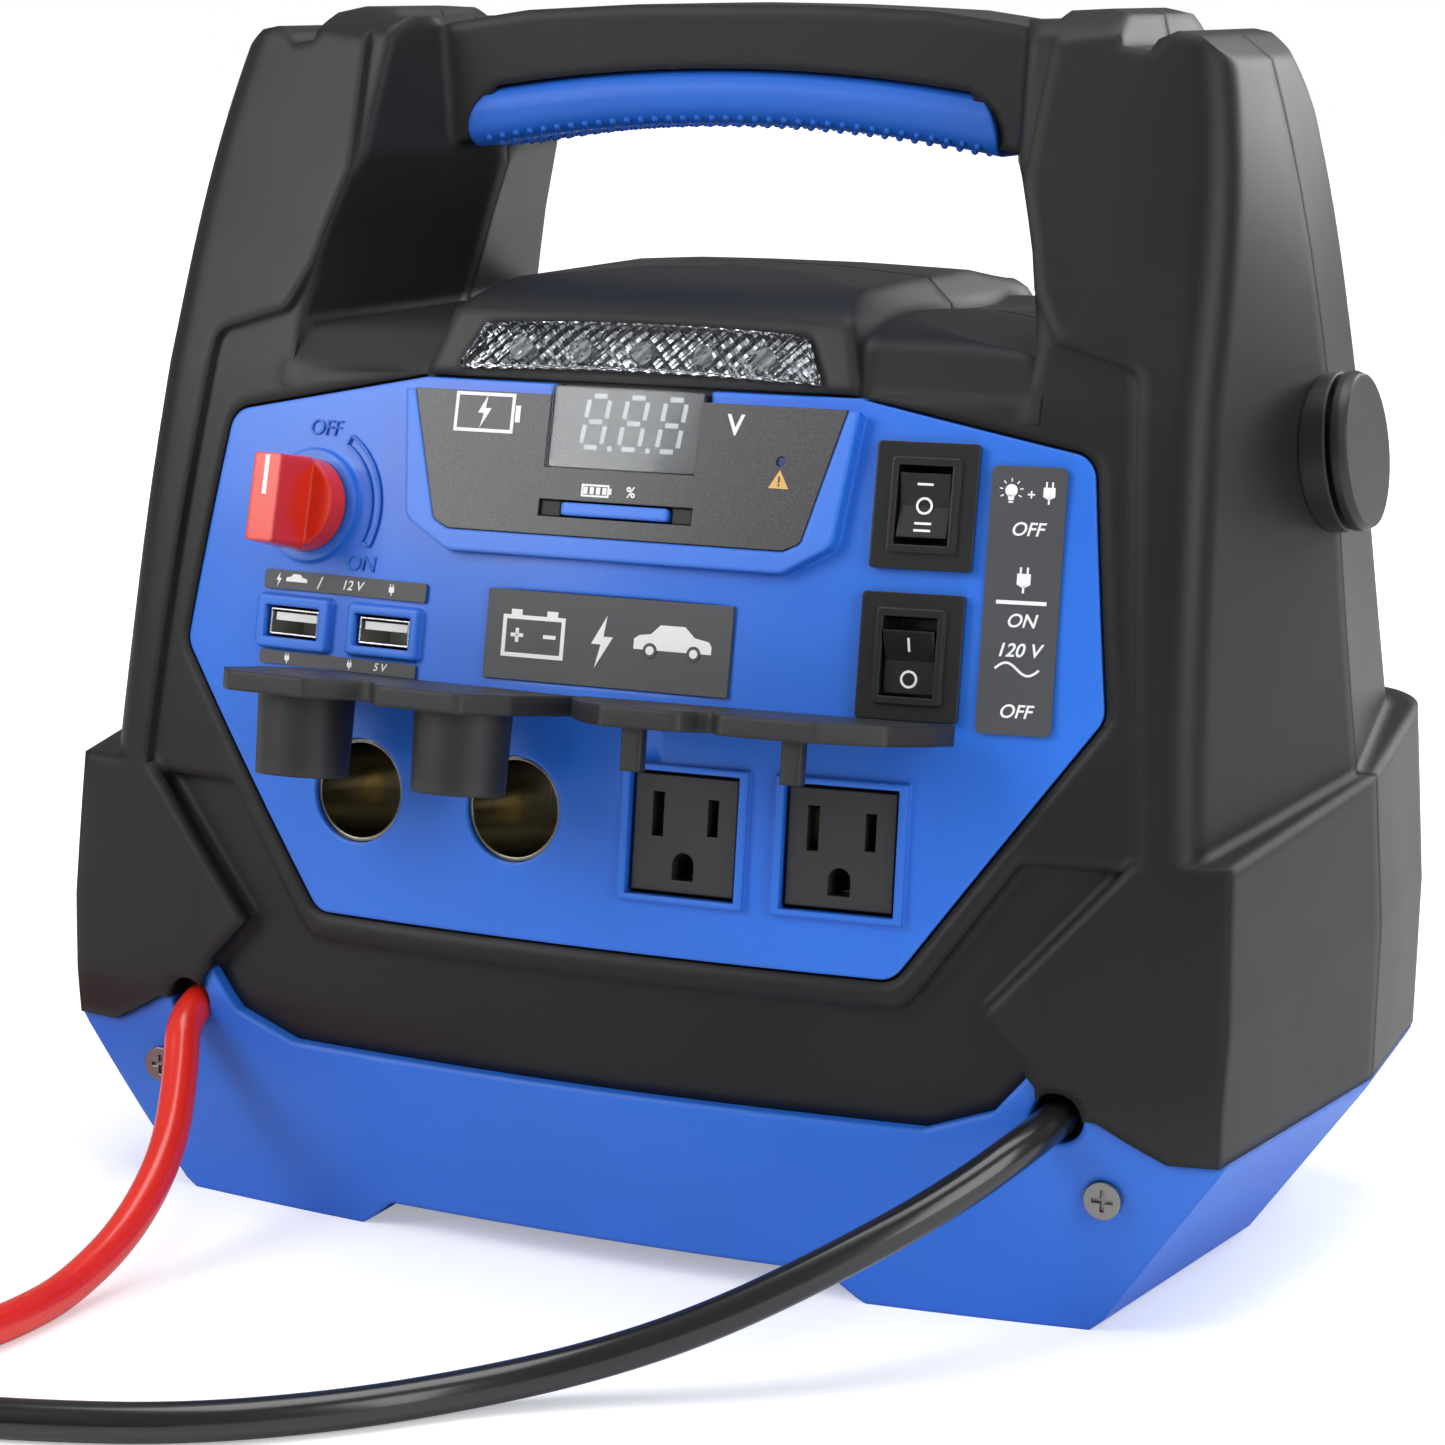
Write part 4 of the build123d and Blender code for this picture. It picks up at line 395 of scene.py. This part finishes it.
def plug(u, v, s):
    """Generic plug: body, two pins, cord."""
    return [rect(u, v, 1.3 * s, 1.0 * s), rect(u - 0.33 * s, v + 0.8 * s, 0.2 * s, 0.6 * s), rect(u + 0.33 * s, v + 0.8 * s, 0.2 * s, 0.6 * s), rect(u, v - 0.9 * s, 0.22 * s, 0.8 * s),
            [(u - 0.65 * s, v - 0.5 * s), (u + 0.65 * s, v - 0.5 * s), (u + 0.2 * s, v - 0.75 * s), (u - 0.2 * s, v - 0.75 * s)]]


def bulb(u, v, s):
    out = [disc(u, v, 0.62 * s, 20), [(u - 0.34 * s, v - 0.4 * s), (u - 0.26 * s, v - 0.95 * s), (u + 0.26 * s, v - 0.95 * s), (u + 0.34 * s, v - 0.4 * s)], rect(u, v - 1.12 * s, 0.44 * s, 0.16 * s)]
    for k in range(7):
        a = math.radians(-30 + 40 * k)
        out.append(seg(u + 0.85 * s * math.cos(a), v + 0.85 * s * math.sin(a), u + 1.2 * s * math.cos(a), v + 1.2 * s * math.sin(a), 0.12 * s))
    return out


def car(u, v, s):
    body = [(-1.5, -0.28), (-1.5, 0.08), (-1.3, 0.22), (-0.85, 0.28), (-0.5, 0.62), (0.45, 0.62), (0.85, 0.26), (1.4, 0.16), (1.52, 0.0), (1.52, -0.28)]
    return [[(u + a * s, v + b * s) for a, b in body]], [disc(u - 0.85 * s, v - 0.30 * s, 0.27 * s, 20), disc(u + 0.85 * s, v - 0.30 * s, 0.27 * s, 20)]


def word(name, text, size, M, u, v, mat, body="case", thick=0.05, shear=0.25, spacing=1.0, offset=0.0):
    cu = bpy.data.curves.new(name, "FONT")
    cu.body = text
    cu.size = size / 1000
    cu.shear = shear
    cu.align_x = "CENTER"
    cu.align_y = "CENTER"
    cu.space_character = spacing
    cu.extrude = thick / 1000
    cu.offset = offset / 1000
    ob = bpy.data.objects.new(name, cu)
    ob.matrix_world = M @ Matrix.Translation(Vector((u / 1000, v / 1000, 0)))
    scene.collection.objects.link(ob)
    cu.materials.append(MATS[mat])
    bpy.context.view_layer.update()
    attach(ob, body)
    return ob


# display: three seven-segment figures on a dark module
DM = FM(0, 170, 0.83)


def figure(u, v, w, h, t, lit):
    s = 0.18 * h
    k = 0.12 * h
    cs = {"a": seg(u - w / 2 + t * 0.8 + k * 0.5, v + h / 2, u + w / 2 - t * 0.8 + k * 0.5, v + h / 2, t), "g": seg(u - w / 2 + t * 0.8, v, u + w / 2 - t * 0.8, v, t),
          "d": seg(u - w / 2 + t * 0.8 - k * 0.5, v - h / 2, u + w / 2 - t * 0.8 - k * 0.5, v - h / 2, t),
          "f": seg(u - w / 2 + k * 0.4, v + h / 2 - t * 0.8, u - w / 2 + k * 0.05, v + t * 0.8, t), "b": seg(u + w / 2 + k * 0.4, v + h / 2 - t * 0.8, u + w / 2 + k * 0.05, v + t * 0.8, t),
          "e": seg(u - w / 2 - k * 0.05, v - t * 0.8, u - w / 2 - k * 0.4, v - h / 2 + t * 0.8, t), "c": seg(u + w / 2 - k * 0.05, v - t * 0.8, u + w / 2 - k * 0.4, v - h / 2 + t * 0.8, t)}
    return [cs[q] for q in lit]


polys = []
for i, u in enumerate((-7.2, 1.8, 10.8)):
    polys += figure(u, 12.6, 4.8, 11.0, 1.05, "abcdefg" if i < 2 else "abcdefg")
    if i < 2:
        polys.append(disc(u + 3.9, 7.0, 0.62, 12))
marks("display_digits", polys, DM, "lcd_digit", thick=0.03)

# fascia print
M = FM(0, 170, 2.13)
word("unit_volts", "V", 6.2, M, 26.0, 13.2, "print_white", shear=0.0, offset=0.10)
word("unit_percent", "%", 3.2, M, 3.4, -2.2, "print_white", shear=0.0, offset=0.05)
polys = frame4(-5.0, -2.2, 6.6, 2.7, 0.42) + [rect(-1.45, -2.2, 0.6, 1.3)] + [rect(-7.3 + 1.5 * i, -2.2, 1.0, 1.5) for i in range(4)]
polys += bolt(-33.5, 13.4, 3.6) + frame4(-33.5, 13.2, 14.5, 8.6, 0.75) + [rect(-25.4, 13.2, 1.2, 3.6)]
marks("fascia_marks", polys, M, "print_white")
tri = [(37.2, 4.6), (34.9, 0.7), (39.5, 0.7)]
marks("warning_mark", [tri], M, "print_amber")
marks("warning_mark_dark", [rect(37.2, 2.55, 0.36, 1.3), rect(37.2, 1.45, 0.4, 0.36)], FM(0, 170, 2.2), "print_dark")

# centre label: battery, bolt and car
M = FM(0, 137, 0.26)
polys = frame4(-17.5, -0.2, 15.0, 9.0, 0.9) + [rect(-21.8, 4.9, 2.6, 1.2), rect(-13.2, 4.9, 2.6, 1.2), rect(-21.4, 0, 3.0, 0.8), rect(-21.4, 0, 0.8, 3.0), rect(-13.6, 0, 3.0, 0.8)]
polys += bolt(-1.0, 0.0, 5.6)
cb, wheels = car(15.5, 0.8, 6.0)
polys += cb
marks("centre_marks", polys, M, "print_white")
marks("centre_wheels", wheels, FM(0, 137, 0.33), "label_grey")
marks("centre_hubs", [disc(15.5 + s * 5.1, -1.0, 0.95, 18) for s in (-1, 1)], FM(0, 137, 0.40), "print_white")

# strip above the charging ports
M = FM(-66.5, 143.9, 0.50)
cb, wheels = car(-13.0, 0.25, 1.9)
marks("strip_marks", cb + bolt(-17.8, 0, 1.6) + [seg(-7.2, -1.4, -6.0, 1.4, 0.35)] + plug(12.6, 0.1, 1.05), M, "print_white")
word("strip_12v", "12 V", 3.0, M, 2.0, 0.0, "print_white", offset=0.03)
M = FM(-67, 127.0, 0.50)
marks("strip_lower_marks", plug(-13.5, 0.1, 0.95) + plug(3.5, 0.1, 0.95), M, "print_white")
word("strip_5v", "5 V", 2.4, M, 11.5, 0.1, "print_white", offset=0.03)

# switch label
M = FM(90.3, 151, 0.52)
marks("label_marks", bulb(-3.6, 22.3, 2.1) + [rect(0.6, 21.6, 1.5, 0.35), rect(0.6, 21.6, 0.35, 1.5)] + plug(4.3, 22.2, 1.9) + plug(0.2, 4.4, 2.2) + [rect(0, -0.4, 10.5, 0.8)]
      + [seg(-4.6 + 0.92 * i, -13.9 + 1.3 * math.sin(2 * math.pi * i / 10), -4.6 + 0.92 * (i + 1), -13.9 + 1.3 * math.sin(2 * math.pi * (i + 1) / 10), 0.5) for i in range(10)], M, "print_white")
word("label_off_top", "OFF", 3.9, M, 0.2, 14.4, "print_white", offset=0.05)
word("label_on", "ON", 3.9, M, 0.2, -4.2, "print_white", offset=0.05)
word("label_120", "120 V", 3.9, M, 0.0, -10.2, "print_white", offset=0.06)
word("label_off_low", "OFF", 3.9, M, 0.2, -22.6, "print_white", offset=0.05)

# raised lettering and arc round the knob, in the panel's own plastic
word("knob_off", "OFF", 5.0, FM(-76, 177.2, 0.12), 0, 0, "panel_blue", thick=0.22, shear=0.1)
word("knob_on", "ON", 5.0, FM(-63, 148.8, 0.12), 0, 0, "panel_blue", thick=0.22, shear=0.1)
M = FM(-77.4, 160.4, 0.02)
arc = ring(0, 0, 18.2, 0.7, -26, 62, 26) + ring(0, 0, 16.0, 0.5, -26, 62, 26) + [seg(16.0 * math.cos(math.radians(a)), 16.0 * math.sin(math.radians(a)), 18.2 * math.cos(math.radians(a)), 18.2 * math.sin(math.radians(a)), 0.5) for a in (-26, 62)]
marks("knob_arc", arc, M, "panel_blue", thick=0.40)

# pointer on the knob
marks("knob_pointer", [rect(0, 4.9, 1.15, 8.6)], FM(-77.4, 160.4, 18.0), "print_white", body="power_knob", thick=0.08)


def facet(x, z, v, w, ang):
    """Plane on a rocker's face: v up the face, w out from the pivot 3 mm under the surface, both in mm."""
    return FM(x, z, -3.0) @ Matrix.Translation(Vector((0, v / 1000, w / 1000))) @ Matrix.Rotation(math.radians(ang), 4, "X")


SL = math.degrees(math.atan2(1.2, 6.6))
marks("rocker_1_mark_a", [rect(0, 0, 3.4, 0.5)], facet(68.5, 168.7, 4.4, 5.0, SL), "print_white", body="rocker_1")
marks("rocker_1_mark_b", [rect(0, 0.75, 3.6, 0.5), rect(0, -0.75, 3.6, 0.5)], facet(68.5, 168.7, -4.4, 5.0, -SL), "print_white", body="rocker_1")
marks("rocker_1_mark_c", [q for q in ring(0, 0, 1.55, 0.5, 0, 360, 28)], facet(68.5, 168.7, 0.0, 4.62, 0), "print_white", body="rocker_1", thick=0.05)
T = 12.0


def facet2(v, w, ang):
    a = math.radians(T)
    return facet(68.3, 138.5, v * math.cos(a) - w * math.sin(a), v * math.sin(a) + w * math.cos(a), ang + T)


marks("rocker_2_mark_a", [rect(0, 0, 0.5, 3.0)], facet2(3.6, 4.86, SL), "print_white", body="rocker_2")
marks("rocker_2_mark_b", [q for q in ring(0, 0, 1.6, 0.5, 0, 360, 28)], facet2(-3.6, 4.86, -SL), "print_white", body="rocker_2")

# bumps under the grip
bm = bmesh.new()


def grip_low(x):
    return 237.2 + 6.0 * (1 - (x / 63.6) ** 2)


rows = [(8.8, 18), (8.8, 48), (8.8, 80)]
for i in range(35):
    x = -59.5 + 3.5 * i
    for j, a in enumerate((46, 76)):
        xx = x + (1.75 if j % 2 else 0)
        if abs(xx) > 60:
            continue
        z = grip_low(xx)
        ar = math.radians(a)
        for sgn in (-1, 1):
            y = 26.4 + sgn * (12.1 + 5.5 * math.cos(ar))
            c = Vector((xx / 1000, y / 1000, (z + 5.5 - 5.5 * math.sin(ar)) / 1000))
            bmesh.ops.create_icosphere(bm, subdivisions=2, radius=0.00085, matrix=Matrix.Translation(c))
    for y in (17.2, 21.8, 26.4, 31.0, 35.6):
        c = Vector((x / 1000, y / 1000, grip_low(x) / 1000))
        bmesh.ops.create_icosphere(bm, subdivisions=2, radius=0.00085, matrix=Matrix.Translation(c))
me = bpy.data.meshes.new("grip_bumps")
bm.to_mesh(me)
bm.free()
for p in me.polygons:
    p.use_smooth = True
bumps = bpy.data.objects.new("grip_bumps", me)
scene.collection.objects.link(bumps)
paint(bumps, "grip_blue")
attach(bumps, "case")

# ------------------------------------------------------------------ studio
me = bpy.data.meshes.new("floor")
me.from_pydata([(-6, -6, 0), (6, -6, 0), (6, 6, 0), (-6, 6, 0)], [], [(0, 1, 2, 3)])
floor = bpy.data.objects.new("floor", me)
scene.collection.objects.link(floor)
m = bpy.data.materials.new("floor_pale")
m.use_nodes = True
m.node_tree.nodes["Principled BSDF"].inputs["Base Color"].default_value = (0.90, 0.90, 0.905, 1)
m.node_tree.nodes["Principled BSDF"].inputs["Roughness"].default_value = 0.7
m.node_tree.nodes["Principled BSDF"].inputs["Emission Color"].default_value = (1, 1, 1, 1)
nt = m.node_tree
geo = nt.nodes.new("ShaderNodeNewGeometry")
ln = nt.nodes.new("ShaderNodeVectorMath")
ln.operation = "LENGTH"
fade = nt.nodes.new("ShaderNodeMapRange")
fade.inputs["From Min"].default_value = 0.3
fade.inputs["From Max"].default_value = 1.4
fade.inputs["To Min"].default_value = 0.36
fade.inputs["To Max"].default_value = 1.0
flp = nt.nodes.new("ShaderNodeLightPath")
mul = nt.nodes.new("ShaderNodeMath")
mul.operation = "MULTIPLY"
nt.links.new(geo.outputs["Position"], ln.inputs[0])
nt.links.new(ln.outputs["Value"], fade.inputs["Value"])
nt.links.new(fade.outputs["Result"], mul.inputs[0])
nt.links.new(flp.outputs["Is Camera Ray"], mul.inputs[1])
nt.links.new(mul.outputs["Value"], nt.nodes["Principled BSDF"].inputs["Emission Strength"])
me.materials.append(m)
w = bpy.data.worlds.new("studio")
scene.world = w
w.use_nodes = True
w.node_tree.nodes["Background"].inputs["Color"].default_value = (1, 1, 1, 1)
bg = w.node_tree.nodes["Background"]
lp = w.node_tree.nodes.new("ShaderNodeLightPath")
mr = w.node_tree.nodes.new("ShaderNodeMapRange")
mr.inputs["To Min"].default_value = 0.26
mr.inputs["To Max"].default_value = 1.0
w.node_tree.links.new(lp.outputs["Is Camera Ray"], mr.inputs["Value"])
w.node_tree.links.new(mr.outputs["Result"], bg.inputs["Strength"])


def softbox(name, loc, target, size, power, size_y=None):
    li = bpy.data.lights.new(name, "AREA")
    li.shape = "RECTANGLE"
    li.size = size
    li.size_y = size_y or size
    li.energy = power
    ob = bpy.data.objects.new(name, li)
    ob.location = loc
    ob.rotation_mode = "QUATERNION"
    ob.rotation_quaternion = (Vector(loc) - Vector(target)).to_track_quat("Z", "Y")
    scene.collection.objects.link(ob)


softbox("key", (-1.1, -1.3, 1.1), (0, 0, 0.13), 0.9, 22, 1.2)
softbox("fill", (1.5, -0.6, 0.8), (0, 0, 0.13), 0.8, 14, 1.4)
softbox("top", (0.1, 0.2, 1.8), (0, 0, 0.1), 1.2, 17)
softbox("rim", (0.7, 1.5, 0.9), (0, 0, 0.15), 0.7, 16, 1.2)
scene.view_settings.view_transform = "Standard"
scene.view_settings.exposure = 0.0

bpy.context.view_layer.update()
